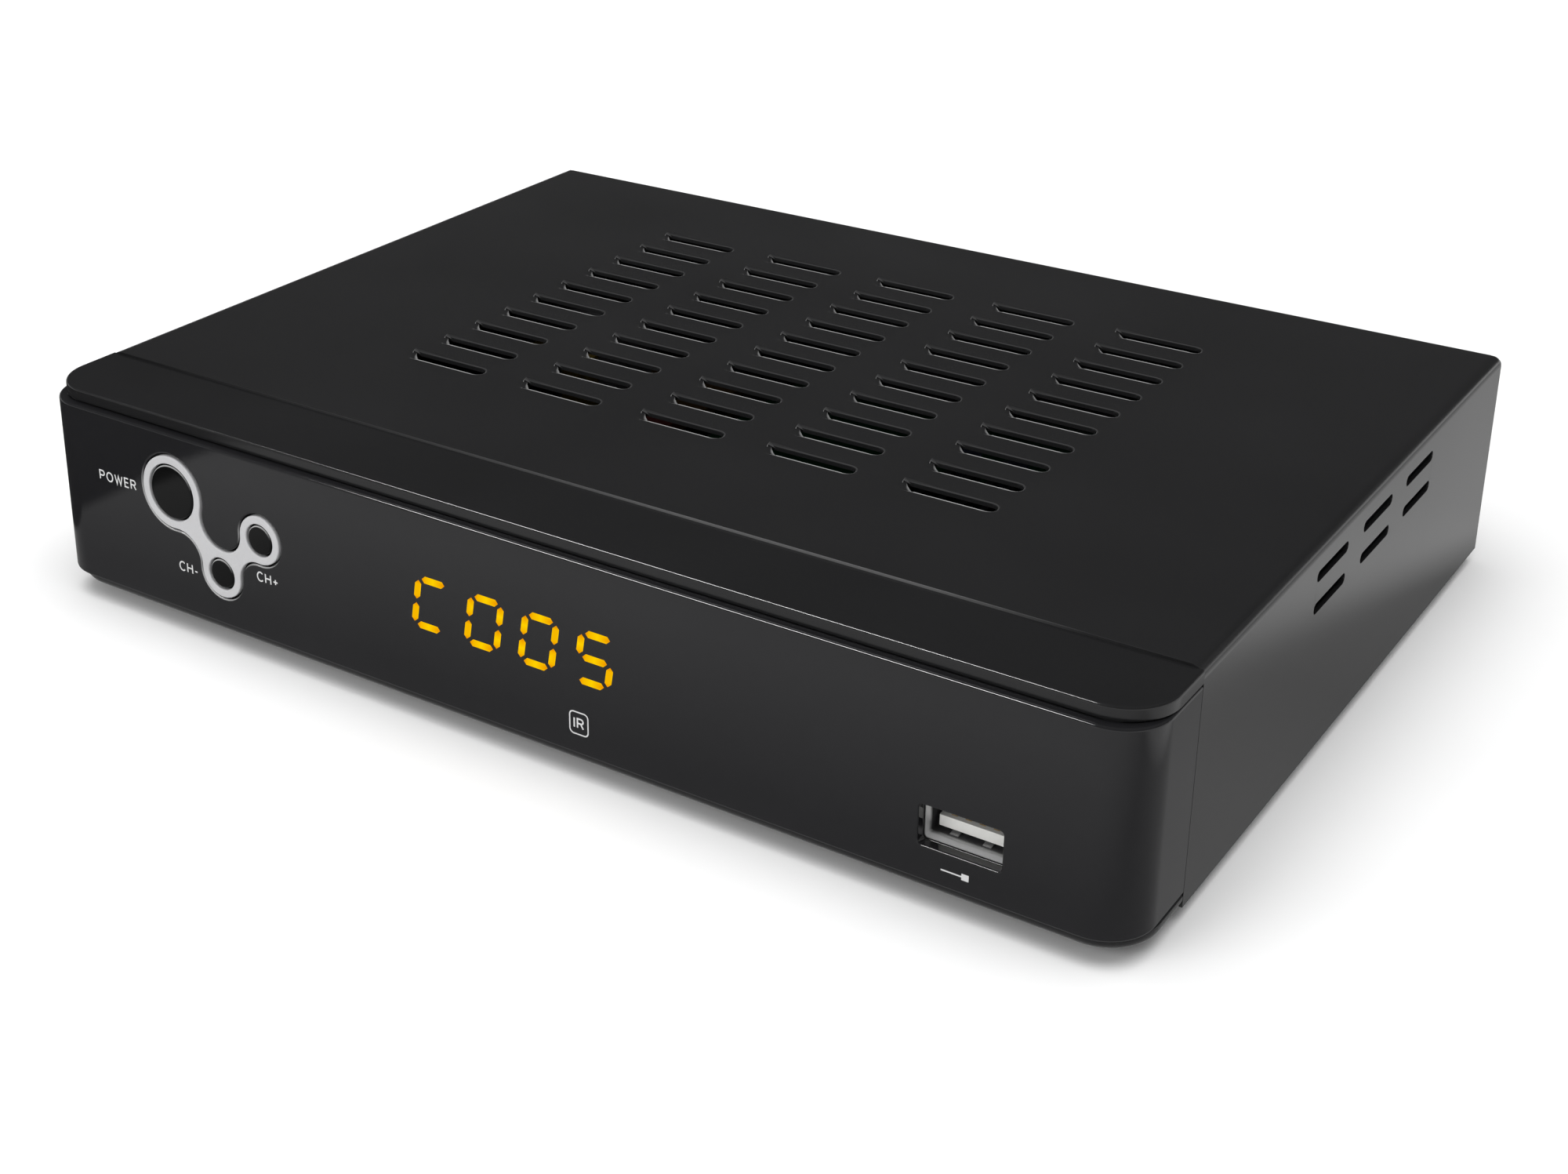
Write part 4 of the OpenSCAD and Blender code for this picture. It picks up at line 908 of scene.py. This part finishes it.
class CONVERTER_OT_digits(bpy.types.Operator):
    """Lit bars of the four digits"""

    bl_idname = "converter.digits"
    bl_label = "Digits"

    def execute(self, context):
        sizes, colours = settings()
        shown = ("adef", "abcdef", "abcdef", "acdfg")
        upright_gap, flat_gap = 0.75, 1.35
        tall, wide = sizes.digit_height, sizes.digit_width
        bars = {"a": (0, tall / 2, 0), "d": (0, -tall / 2, 0), "g": (0, 0, 0),
                "b": (wide / 2, tall / 4, 1), "c": (wide / 2, -tall / 4, 1),
                "e": (-wide / 2, -tall / 4, 1), "f": (-wide / 2, tall / 4, 1)}
        lean = math.tan(sizes.digit_slant)
        bm = bmesh.new()
        glow = bm.verts.layers.float.new("glow")
        for k, lit in enumerate(shown):
            middle = (k - (len(shown) - 1) / 2) * sizes.digit_step
            for name in lit:
                u, v, stands = bars[name]
                run = tall / 2 - upright_gap if stands else wide - flat_gap
                rows = []
                for inset, out in BAR_ROWS:
                    loop = self.bar(run, sizes.bar, inset)
                    if stands:
                        loop = [(-b, a) for a, b in loop]
                    rows.append([(middle + u + a + lean * (v + b), FASCIA_FRONT - out, sizes.digit_z + v + b)
                                 for a, b in loop])
                for verts in capped(bm, rows):
                    for vert, bright in zip(verts, BAR_GLOW):
                        vert[glow] = bright
        amber = self.amber(colours)
        piece("digit_bars", bm, amber, "case", ["lit_segments"], smooth=20)
        return {"FINISHED"}

    def bar(self, run, width, inset):
        """Outline of a lit bar with pointed ends, along the first axis."""
        longest, share = 0.62, 0.5
        half, up = run / 2 - inset, width / 2 - inset
        tip = min(longest, half * share)
        return [(-half, 0.0), (tip - half, -up), (0.0, -up), (half - tip, -up),
                (half, 0.0), (half - tip, up), (0.0, up), (tip - half, up)]

    def amber(self, colours):
        """Glowing amber that turns orange at the ends of a bar, from the bars' own glow attribute."""
        mat, tree, shader = glowing("Lit amber")
        glow = add_node(tree, "Attribute", attribute_name="glow")["Fac"]
        end, middle = [tuple(colour) + (1.0,) for colour in (colours.bar_end, colours.bar_middle)]
        wire(tree, shader, {"Emission Color": mix(tree, glow, end, middle)})
        return mat


# Letters in a box one high: width, straight strokes as corners, round ones as centre, radii and turn
LETTERS = {
    "P": (0.66, [[(0, 0), (0, 1), (0.4, 1)], [(0, 0.46), (0.4, 0.46)]], [(0.4, 0.73, 0.26, 0.27, 90, -90)]),
    "R": (0.72, [[(0, 0), (0, 1), (0.42, 1)], [(0, 0.5), (0.42, 0.5)], [(0.38, 0.5), (0.68, 0)]],
          [(0.42, 0.75, 0.24, 0.25, 90, -90)]),
    "O": (0.86, [], [(0.43, 0.5, 0.43, 0.5, 0, 180), (0.43, 0.5, 0.43, 0.5, 180, 360)]),
    "W": (1.06, [[(0, 1), (0.26, 0), (0.53, 0.92), (0.8, 0), (1.06, 1)]], []),
    "E": (0.56, [[(0.56, 1), (0, 1), (0, 0), (0.56, 0)], [(0, 0.52), (0.5, 0.52)]], []),
    "C": (0.74, [], [(0.42, 0.5, 0.42, 0.5, 45, 315)]),
    "H": (0.7, [[(0, 0), (0, 1)], [(0.7, 0), (0.7, 1)], [(0, 0.52), (0.7, 0.52)]], []),
    "I": (0.0, [[(0, 0), (0, 1)]], []),
    "-": (0.34, [[(0, 0.36), (0.34, 0.36)]], []),
    "+": (0.56, [[(0, 0.42), (0.56, 0.42)], [(0.28, 0.14), (0.28, 0.7)]], []),
}
LETTER_GAP = 0.38


def pen(points, width):
    """Outline of a stroke of even width along straight runs, with mitred corners."""
    sharpest = 0.35
    left, right = [], []
    for k, p in enumerate(points):
        here = Vector(p)
        ins = (here - Vector(points[k - 1])).normalized() if k else None
        outs = (Vector(points[k + 1]) - here).normalized() if k + 1 < len(points) else None
        along = ((ins or outs) + (outs or ins)).normalized()
        side = Vector((-along.y, along.x))
        straight = ins or outs
        reach = width / 2 / max(sharpest, side.dot(Vector((-straight.y, straight.x))))
        left.append(tuple(here + side * reach))
        right.append(tuple(here - side * reach))
    return left + right[::-1]


def round_stroke(cx, cz, rx, rz, start, end, width, steps=14):
    """Outline of a stroke along part of an ellipse."""
    angles = [math.radians(start + (end - start) * k / steps) for k in range(steps + 1)]
    outer, inner = [[(cx + (rx + grow) * math.cos(a), cz + (rz + grow) * math.sin(a)) for a in angles]
                    for grow in (width / 2, -width / 2)]
    return outer + inner[::-1]


def word(text, x, z, height, weight):
    """Outlines of a short word about its middle."""
    start = -(sum(LETTERS[c][0] for c in text) + LETTER_GAP * (len(text) - 1)) / 2
    strokes = []
    for c in text:
        wide, runs, rounds = LETTERS[c]
        strokes += [pen([(start + u, v - 0.5) for u, v in run], weight) for run in runs]
        strokes += [round_stroke(start + cx, cz - 0.5, *rest, weight) for cx, cz, *rest in rounds]
        start += wide + LETTER_GAP
    return [[(x + u * height, z + v * height) for u, v in stroke] for stroke in strokes]


class CONVERTER_OT_marks(bpy.types.Operator):
    """Plain printed words by the buttons, the eye's mark and the port's mark"""

    bl_idname = "converter.marks"
    bl_label = "Printed marks"

    def execute(self, context):
        colours = settings()[1]
        tall, weight, line, plug = 1.74, 0.16, 0.24, 1.1
        eye_tall, eye_weight, eye_w, eye_h, eye_r = 1.7, 0.17, 3.9, 4.3, 0.9
        plug_left, plug_below, plug_ends = 0.6, 6.4, (-2.2, 1.2, 2.4)
        ink_up, ink_step = 0.02, 0.002
        shapes = []
        for text, at, right, up in (("POWER", POWER_AT, -14.0, -1.1), ("CH-", DOWN_AT, -8.6, -1.3),
                                    ("CH+", UP_AT, 1.2, -7.2)):
            shapes += word(text, at[0] + right, at[1] + up, tall, weight)
        shapes += word("IR", *EYE_AT, eye_tall, eye_weight)
        plug_x, plug_z = USB_AT[0] - plug_left, USB_AT[1] - plug_below
        tail, neck, tip = [(plug_x + along, plug_z) for along in plug_ends]
        shapes += [pen([tail, neck], line), pen([neck, tip], plug)]
        bm = bmesh.new()
        for k, loop in enumerate(shapes):
            face = FASCIA_FRONT - ink_up - ink_step * (k % 3)
            plate(bm, [upright(loop, face), upright(loop, FASCIA_FRONT)])
        outer, inner = [[upright(box_loop(*EYE_AT, eye_w - g, eye_h - g, eye_r - g / 2), FASCIA_FRONT - out)
                         for out in (ink_up, 0.0)] for g in (0.0, 2 * line)]
        plate(bm, outer, [inner])
        ink = finish("Grey ink", colours.mark, spread=0.05, gloss=(0.45, 0.55), grain=3000.0, depth=0.02)
        piece("printed_marks", bm, ink, "case", [], smooth=20)
        return {"FINISHED"}


class CONVERTER_OT_port(bpy.types.Operator):
    """Steel shell of the port with flared lips and spring tabs"""

    bl_idname = "converter.port"
    bl_label = "Port"

    def execute(self, context):
        colours = settings()[1]
        low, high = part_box("usb_shell")
        front, back = from_seam(low.y), from_seam(high.y)
        wide, tall = size_of("usb_shell")[::2]
        sheet, flare, tab_aside, tab_back, tab_lit_share = 0.3, 1.3, 2.7, 1.5, 0.3
        inner = -2 * sheet
        # Rows from the back over the lips inwards: growth in width and height, place and corner radius
        rows = ((0.0, 0.0, back, 0.6), (0.0, 0.0, front + flare, 0.6), (0.25, 0.45, front + 0.6, 0.6),
                (0.55, 0.95, front, 0.6), (0.25, 0.65, front - 0.03, 0.45),
                (-0.25, -0.1, front + 0.65, 0.35), (inner, inner, front + flare, 0.3),
                (inner, inner, back - sheet, 0.3))
        bm = bmesh.new()
        edge = bm.verts.layers.float.new("edge")
        loops = capped(bm, [upright(box_loop(*USB_AT, wide + grow_w, tall + grow_h, radius), y)
                            for grow_w, grow_h, y, radius in rows])
        # Lips keep the bright steel colour; the rest of the shell is darkened as painted shade, and the
        # spring tabs are painted partly lit
        for vert in loops[3] + loops[4] + loops[5]:
            vert[edge] = 1.0
        base = USB_AT[1] - tall / 2 + sheet
        for x in (USB_AT[0] - tab_aside, USB_AT[0] + tab_aside):
            for vert in self.spring(bm, x, front + tab_back, base):
                vert[edge] = tab_lit_share
        steel = finish("Tinned steel", colours.steel, spread=0.08, gloss=(0.3, 0.4), grain=700.0,
                       depth=0.06, metal=0.6, stretch=(1.0, 8.0, 8.0), bare_and_highlight=colours.lip)
        piece("port_shell", bm, steel, "case", ["usb_shell"])
        return {"FINISHED"}

    def spring(self, bm, x, y, z):
        """One slanted spring tab on the floor of the port."""
        run, rise, thick, half, sunk = 2.6, 0.6, 0.25, 0.7, 0.1
        outline = [(y, z - sunk), (y + run, z + rise - thick), (y + run, z + rise), (y, z + thick - sunk)]
        ends = capped(bm, [[(x + side, u, v) for u, v in outline] for side in (-half, half)])
        return ends[0] + ends[-1]


class CONVERTER_OT_sockets(bpy.types.Operator):
    """Threaded aerial sockets and rubber feet"""

    bl_idname = "converter.sockets"
    bl_label = "Aerial sockets and feet"

    def execute(self, context):
        colours = settings()[1]
        low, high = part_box("antenna_sockets")
        z = centre_of("antenna_sockets")[2]
        radius = size_of("antenna_sockets")[2] / 2
        start, end = from_seam(low.y), from_seam(high.y)
        plain, pitch, depth, tail, wall, bottom = 3.4, 0.8, 0.22, 0.4, 1.5, 1.0
        crest, crest_end, groove = 0.25, 0.4, 0.65
        below, taper, soft = 0.1, 0.45, 0.2
        shank, mouth, inner = radius - below, radius - taper, radius - wall
        nickel = finish("Bright nickel", colours.nickel, spread=0.06, gloss=(0.16, 0.22), grain=900.0,
                        depth=0.03, metal=1.0)
        profile = [(0.0, start), (shank, start), (shank, start + plain)]
        along = start + plain
        while along + pitch < end - tail:
            profile += [(radius, along + crest), (radius, along + crest_end),
                        (radius - depth, along + groove)]
            along += pitch
        profile += [(radius - depth, end - tail), (mouth, end), (inner + soft, end), (inner, end - soft),
                    (inner, start + bottom), (0.0, start + bottom)]
        for name, x, nodes in (("aerial_socket_left", low.x / MM + radius, ["antenna_sockets"]),
                               ("aerial_socket_right", high.x / MM - radius, [])):
            bm = bmesh.new()
            lathe(bm, (x, z), profile)
            piece(name, bm, nickel, "case", nodes, smooth=25)
        self.feet(colours)
        return {"FINISHED"}

    def feet(self, colours):
        """Four rounded rubber feet."""
        low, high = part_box("rubber_feet")
        height = size_of("rubber_feet")[2]
        radius, dent = 6.0, 0.3
        wall_from, turned, tread, hollow = 0.35, 0.3, 0.5, 0.45
        rubber = finish("Dull rubber", colours.rubber, spread=0.2, gloss=(0.62, 0.75), grain=1300.0,
                        depth=0.12)
        top, bottom = from_tray(high.z), from_tray(low.z)
        profile = [(0.0, top), (radius, top), (radius, bottom + height * wall_from)]
        profile += [(radius - inset, bottom + fall) for inset, fall in reversed(rounding(height * turned))]
        profile += [(radius * tread, bottom), (radius * hollow, bottom + dent), (0.0, bottom + dent)]
        bm = bmesh.new()
        for x in (low.x / MM + radius, high.x / MM - radius):
            for y in (from_seam(low.y) + radius, from_seam(high.y) - radius):
                lathe(bm, (x, y), profile, axis="Z", steps=48)
        piece("foot_pads", bm, rubber, "case", ["rubber_feet"])


# Widths of the softened edges of solids that show
SHOWN_EDGES = {"chassis_tray": 0.12, "cover_screws": 0.12, "antenna_nuts": 0.2, "av_sleeves": 0.1,
               "video_hub": 0.15, "left_sound_hub": 0.15, "right_sound_hub": 0.15, "hdmi_shell": 0.08,
               "mains_inlet": 0.25, "inlet_pins": 0.3, "av_inserts": 0.1, "antenna_inserts": 0.1,
               "usb_tongue": 0.12, "usb_contacts": 0.04, "hdmi_tongue": 0.08}
SLOT_FINISH = {
    "black_screw": dict(gloss=(0.3, 0.4), metal=0.6, grain=1200.0),
    "bright_steel": dict(gloss=(0.24, 0.34), metal=1.0, grain=700.0, stretch=(1.0, 8.0, 8.0)),
    "nickel": dict(gloss=(0.15, 0.22), metal=1.0, grain=900.0, depth=0.03),
    "contact_gold": dict(gloss=(0.2, 0.28), metal=1.0, grain=900.0),
    "post_brass": dict(gloss=(0.25, 0.35), metal=1.0, grain=900.0, stretch=(1.0, 1.0, 9.0)),
    "board_green": dict(gloss=(0.3, 0.4), spread=0.3, grain=260.0, cloud=90.0, depth=0.1),
    "board_tan": dict(gloss=(0.45, 0.6), spread=0.2, grain=320.0, cloud=60.0, depth=0.1),
    "package_black": dict(gloss=(0.42, 0.52), grain=1500.0, depth=0.08),
    "eye_plastic": dict(gloss=(0.08, 0.12), depth=0.01),
    "cream_plastic": dict(gloss=(0.35, 0.45)),
    "white_plastic": dict(gloss=(0.34, 0.44), spread=0.04),
    "yellow_plastic": dict(gloss=(0.2, 0.28), spread=0.08),
    "red_plastic": dict(gloss=(0.2, 0.28), spread=0.08),
    "sink_aluminium": dict(gloss=(0.3, 0.42), metal=1.0, grain=600.0, stretch=(1.0, 9.0, 1.0)),
    "capacitor_sleeve": dict(gloss=(0.18, 0.26), coat=0.3),
    "ferrite": dict(gloss=(0.55, 0.7), spread=0.25, grain=900.0, depth=0.15),
    "winding_tape": dict(gloss=(0.25, 0.35), spread=0.15, grain=300.0, stretch=(1.0, 1.0, 6.0)),
    "fuse_glass": dict(gloss=(0.05, 0.08), depth=0.0),
    "lead_grey": dict(gloss=(0.4, 0.5), grain=500.0, stretch=(8.0, 1.0, 1.0)),
    "lead_red": dict(gloss=(0.35, 0.45), grain=500.0, stretch=(1.0, 8.0, 1.0)),
    "lead_brown": dict(gloss=(0.35, 0.45)),
    "segment_amber": dict(gloss=(0.3, 0.4)),
}

# Strong colours of the inside, darkened as painted shade so that they do not shine through the slots
INSIDE = ("board_green", "board_tan", "lead_red", "lead_grey", "lead_brown")
INSIDE_SHADE = 0.35


class CONVERTER_OT_solids(bpy.types.Operator):
    """Finishes of the solids that stay as they are: tray, screws, sockets and the inside"""

    bl_idname = "converter.solids"
    bl_label = "Carried-over solids"

    def execute(self, context):
        colours = settings()[1]
        record = frame["record"]
        base = {m["slot"]: m["base_color"][:3] for m in record["materials"]}
        for entry in record["subparts"]:
            obj = frame["nodes"][entry["node"]]
            slot = entry["material_slot"]
            if slot == "case_paint":
                material = cover_paint(colours)
            else:
                # Inside colours darkened as painted shade
                shade = INSIDE_SHADE if slot in INSIDE else 1.0
                colour = [c * shade for c in base[slot]]
                material = finish("Solid " + slot.replace("_", " "), colour, **SLOT_FINISH.get(slot, {}))
            obj.data.materials.clear()
            obj.data.materials.append(material)
            width = SHOWN_EDGES.get(entry["node"])
            if width:
                weld = obj.modifiers.new("Join", "WELD")
                weld.merge_threshold = JOIN_WIDE
                add_bevel(obj, width)
        return {"FINISHED"}


CAMERA_AT = (208.7, -276.3, 198.6)
CAMERA_FORWARD = (-0.52521, 0.76164, -0.37954)
CAMERA_RIGHT = (0.82404, 0.56653, -0.00344)
FOCAL_PX = 2927.1
PHOTO_W, PHOTO_H = 2000.0, 1497.0
PRINCIPAL = (850.0, 500.0)

# Lamps: name, place, aim and size in metres, then power
SOFT_LAMPS = (("Top softbox", (0.1, -0.15, 1.2), (0, 0, 0.02), (1.4, 1.0), 14.0),
              ("Front softbox", (-0.5, -1.2, 0.6), (0, 0, 0.02), (0.9, 0.6), 6.0))
STRIP_LAMP = ("Strip", (-0.66, -0.79, 1.04), (-0.66, -0.79, 0.0), (0.66, 0.2), 20.0)

# Table in reflections: place along the depth in metres, then levels near the box and to its right; the low
# levels close to the box are the box's painted shadow
TABLE_SHADE = ((-0.30, 0.62, 0.7), (-0.14, 0.55, 0.7), (-0.098, 0.25, 0.7),
               (-0.06, 0.3, 0.75), (-0.03, 0.27, 0.78), (0.01, 0.19, 0.78),
               (0.05, 0.19, 0.74), (0.1, 0.2, 0.62), (0.3, 0.5, 0.5))

# Dark left end of the table, then the slanted line beyond which its right part is light
TABLE_LEFT, TABLE_BLUR, LEFT_LEVEL = -0.133, 0.002, 0.12
TABLE_RIGHT = (0.939, 0.345, 0.0)
RIGHT_SHARE = ((0.09, 0.0), (0.128, 0.12), (0.138, 1.0))


def area_light(name, at, aim, size, power):
    """Soft lamp that faces a point, in metres."""
    lamp = bpy.data.lights.new(name, "AREA")
    lamp.shape = "RECTANGLE"
    lamp.size, lamp.size_y = size
    lamp.energy = power
    obj = bpy.data.objects.new(name, lamp)
    obj.location = at
    obj.rotation_mode = "QUATERNION"
    obj.rotation_quaternion = (Vector(aim) - Vector(at)).to_track_quat("-Z", "Y")
    bpy.context.collection.objects.link(obj)
    return obj


def card(name):
    """Glow of a card that lights nothing, with its node tree and its shader's inputs."""
    mat, tree, shader = glowing(name)
    mat.cycles.emission_sampling = "NONE"
    return mat, tree, shader


def grey_card(name, *greys):
    """Grey glow that changes slowly between two levels."""
    mat, tree, shader = card(name)
    tones = [(grey, grey, grey, 1.0) for grey in greys]
    wire(tree, shader, {"Emission Color": mix(tree, noise(tree, {"Scale": 0.7}), *tones)})
    return mat


def table_card():
    """Table seen only in reflections, with the box's shadow painted on it: dark close to the box and at its
    left, and light beyond a slanted line at its right.
    """
    mat, tree, shader = card("Shaded table")
    spot = spot_on(tree)
    parts = add_node(tree, "SeparateXYZ", {0: spot})
    near, right = [shade_by(tree, parts["Y"], [(row[0], row[k]) for row in TABLE_SHADE]) for k in (1, 2)]
    dark = remap(tree, parts["X"], TABLE_LEFT - TABLE_BLUR, TABLE_LEFT + TABLE_BLUR, LEFT_LEVEL, 1.0)
    across = add_node(tree, "VectorMath", {0: spot, 1: TABLE_RIGHT}, operation="DOT_PRODUCT")["Value"]
    shade = mix(tree, 1.0, near, dark, "MULTIPLY")
    wire(tree, shader, {"Emission Color": mix(tree, shade_by(tree, across, RIGHT_SHARE), shade, right)})
    return mat


def seen_rays(tree):
    """Output that is one for rays from the camera, off gloss and through glass."""
    path = add_node(tree, "LightPath")
    seen = path["Is Camera Ray"]
    for name in ("Is Glossy Ray", "Is Transmission Ray"):
        seen = add_node(tree, "Math", {0: seen, 1: path[name]}, operation="MAXIMUM")[0]
    return seen


class CONVERTER_OT_stage(bpy.types.Operator):
    """Pale floor, white surroundings, soft lamps, a dark card and the camera"""

    bl_idname = "converter.stage"
    bl_label = "Stage"

    def execute(self, context):
        colours = settings()[1]
        scene = context.scene
        scene.view_settings.view_transform = "Standard"
        self.world(scene)
        self.floor(colours)
        self.cards()
        for lamp in SOFT_LAMPS:
            area_light(*lamp).visible_glossy = False
        strip = area_light(*STRIP_LAMP)
        strip.visible_diffuse = False
        moulded = bpy.data.collections.new("Moulded front")
        for name in ("bezel_frame", "fascia_wrap"):
            moulded.objects.link(bpy.data.objects[name])
        strip.light_linking.receiver_collection = moulded
        self.camera(scene)
        return {"FINISHED"}

    def world(self, scene):
        """White to the camera and in reflections, soft grey light otherwise."""
        world = bpy.data.worlds.new("White room")
        scene.world = world
        world.use_nodes = True
        tree = world.node_tree
        soft = 0.5
        strength = remap(tree, seen_rays(tree), 0.0, 1.0, soft, 1.0)
        wire(tree, tree.nodes["Background"].inputs, {"Color": WHITE, "Strength": strength})

    def floor(self, colours):
        """Wide pale floor that keeps the shadow; light from below passes its patch under the box."""
        reach, inset = 3.0, 15.0
        low = place(inset - HALF_W, FASCIA_FRONT + inset, 0)
        high = place(HALF_W - inset, CASE_D - inset, 0)
        outer, inner = [((x0, y0, 0), (x1, y0, 0), (x1, y1, 0), (x0, y1, 0)) for x0, y0, x1, y1
                        in ((-reach, -reach, reach, reach), (low.x, low.y, high.x, high.y))]
        mat = self.floor_paint(colours)
        self.flat("floor", [(outer[k - 1], outer[k], inner[k], inner[k - 1]) for k in range(4)], mat)
        patch = self.flat("floor patch", [inner], mat)
        patch.visible_diffuse = False
        patch.visible_shadow = False

    def floor_paint(self, colours):
        """Pale paint, clear from below, that glows white away from the box where it is seen or mirrored."""
        mat = finish("Pale floor", colours.floor, spread=0.01, gloss=(0.75, 0.85), grain=40.0, depth=0.0)
        tree = mat.node_tree
        away = add_node(tree, "VectorMath", {0: spot_on(tree)}, operation="LENGTH")["Value"]
        near, far, most = 0.2, 0.8, 0.8
        white = remap(tree, away, near, far, 0.0, most)
        below = add_node(tree, "NewGeometry")["Backfacing"]
        wire(tree, tree.nodes["Principled BSDF"].inputs,
             {"Specular IOR Level": 0.1, "Emission Strength": 1.0,
              "Emission Color": mix(tree, seen_rays(tree), BLACK, white),
              "Alpha": remap(tree, below, 0.0, 1.0, 1.0, 0.0)})
        return mat

    def flat(self, name, faces, mat):
        """Flat piece of the stage."""
        bm = bmesh.new()
        for corners in faces:
            bm.faces.new([bm.verts.new(c) for c in corners])
        return self.staged(name, bm, mat)

    def staged(self, name, bm, mat):
        """Object made from a bmesh of the stage."""
        obj = as_object(name, bm, mat)
        return obj

    def cards(self):
        """Grey tent, dark card and shaded table that only reflections see."""
        tent_z, tent_r, tent_top = 0.29, 2.5, 2.2
        bm = bmesh.new()
        loops = [[bm.verts.new((tent_r * c, tent_r * s, z)) for c, s in circle_loop(0.0, 0.0, 1.0)]
                 for z in (tent_z, tent_top)]
        bridge(bm, *loops)
        bm.faces.new(loops[1])
        dark = ((-2.0, 0.2, 0.17), (0.8, 1.7, 0.17), (0.8, 1.7, 1.6), (-2.0, 0.2, 1.6))
        reach, up = 0.9, 0.0004
        table = ((-reach, -reach, up), (reach, -reach, up), (reach, reach, up), (-reach, reach, up))
        for obj in (self.staged("grey_tent", bm, grey_card("Grey tent", 0.15, 0.15)),
                    self.flat("dark_card", [dark], grey_card("Dark card", 0.06, 0.05)),
                    self.flat("shaded_table", [table], table_card())):
            obj.visible_camera = False
            obj.visible_shadow = False
            obj.visible_diffuse = False
            obj.visible_transmission = False

    def camera(self, scene):
        """Camera at the photograph's viewing angle."""
        data = bpy.data.cameras.new("camera")
        data.sensor_width = 36.0
        data.lens = FOCAL_PX / PHOTO_W * data.sensor_width
        data.shift_x = (PHOTO_W / 2 - PRINCIPAL[0]) / PHOTO_W
        data.shift_y = (PRINCIPAL[1] - PHOTO_H / 2) / PHOTO_W
        data.clip_start = 0.01
        obj = bpy.data.objects.new("camera", data)
        forward = Vector(CAMERA_FORWARD).normalized()
        right = Vector(CAMERA_RIGHT)
        right = (right - forward * right.dot(forward)).normalized()
        up = right.cross(forward)
        turn_to = Matrix((right, up, -forward)).transposed().to_4x4()
        obj.matrix_world = Matrix.Translation(place(*CAMERA_AT)) @ turn_to
        bpy.context.collection.objects.link(obj)
        scene.camera = obj


PIECE_OPERATORS = (CONVERTER_OT_solids, CONVERTER_OT_cover, CONVERTER_OT_bezel, CONVERTER_OT_fascia,
                   CONVERTER_OT_trim, CONVERTER_OT_buttons, CONVERTER_OT_digits, CONVERTER_OT_marks,
                   CONVERTER_OT_port, CONVERTER_OT_sockets, CONVERTER_OT_stage)


class CONVERTER_PT_panel(bpy.types.Panel):
    """Lists the operators that build the converter box"""

    bl_idname = "CONVERTER_PT_panel"
    bl_label = "Converter box"
    bl_space_type = "VIEW_3D"
    bl_region_type = "UI"
    bl_category = "Converter"

    def draw(self, context):
        for op in PIECE_OPERATORS:
            self.layout.operator(op.bl_idname)


CLASSES = (ConverterSizes, ConverterColours) + PIECE_OPERATORS + (CONVERTER_PT_panel,)


def register():
    for cls in CLASSES:
        bpy.utils.register_class(cls)
    bpy.types.Scene.converter_sizes = PointerProperty(type=ConverterSizes)
    bpy.types.Scene.converter_colours = PointerProperty(type=ConverterColours)


def unregister():
    del bpy.types.Scene.converter_colours
    del bpy.types.Scene.converter_sizes
    for cls in reversed(CLASSES):
        bpy.utils.unregister_class(cls)


def main():
    register()
    for op in PIECE_OPERATORS:
        group, name = op.bl_idname.split(".")
        getattr(getattr(bpy.ops, group), name)()


if __name__ == "__main__":
    main()
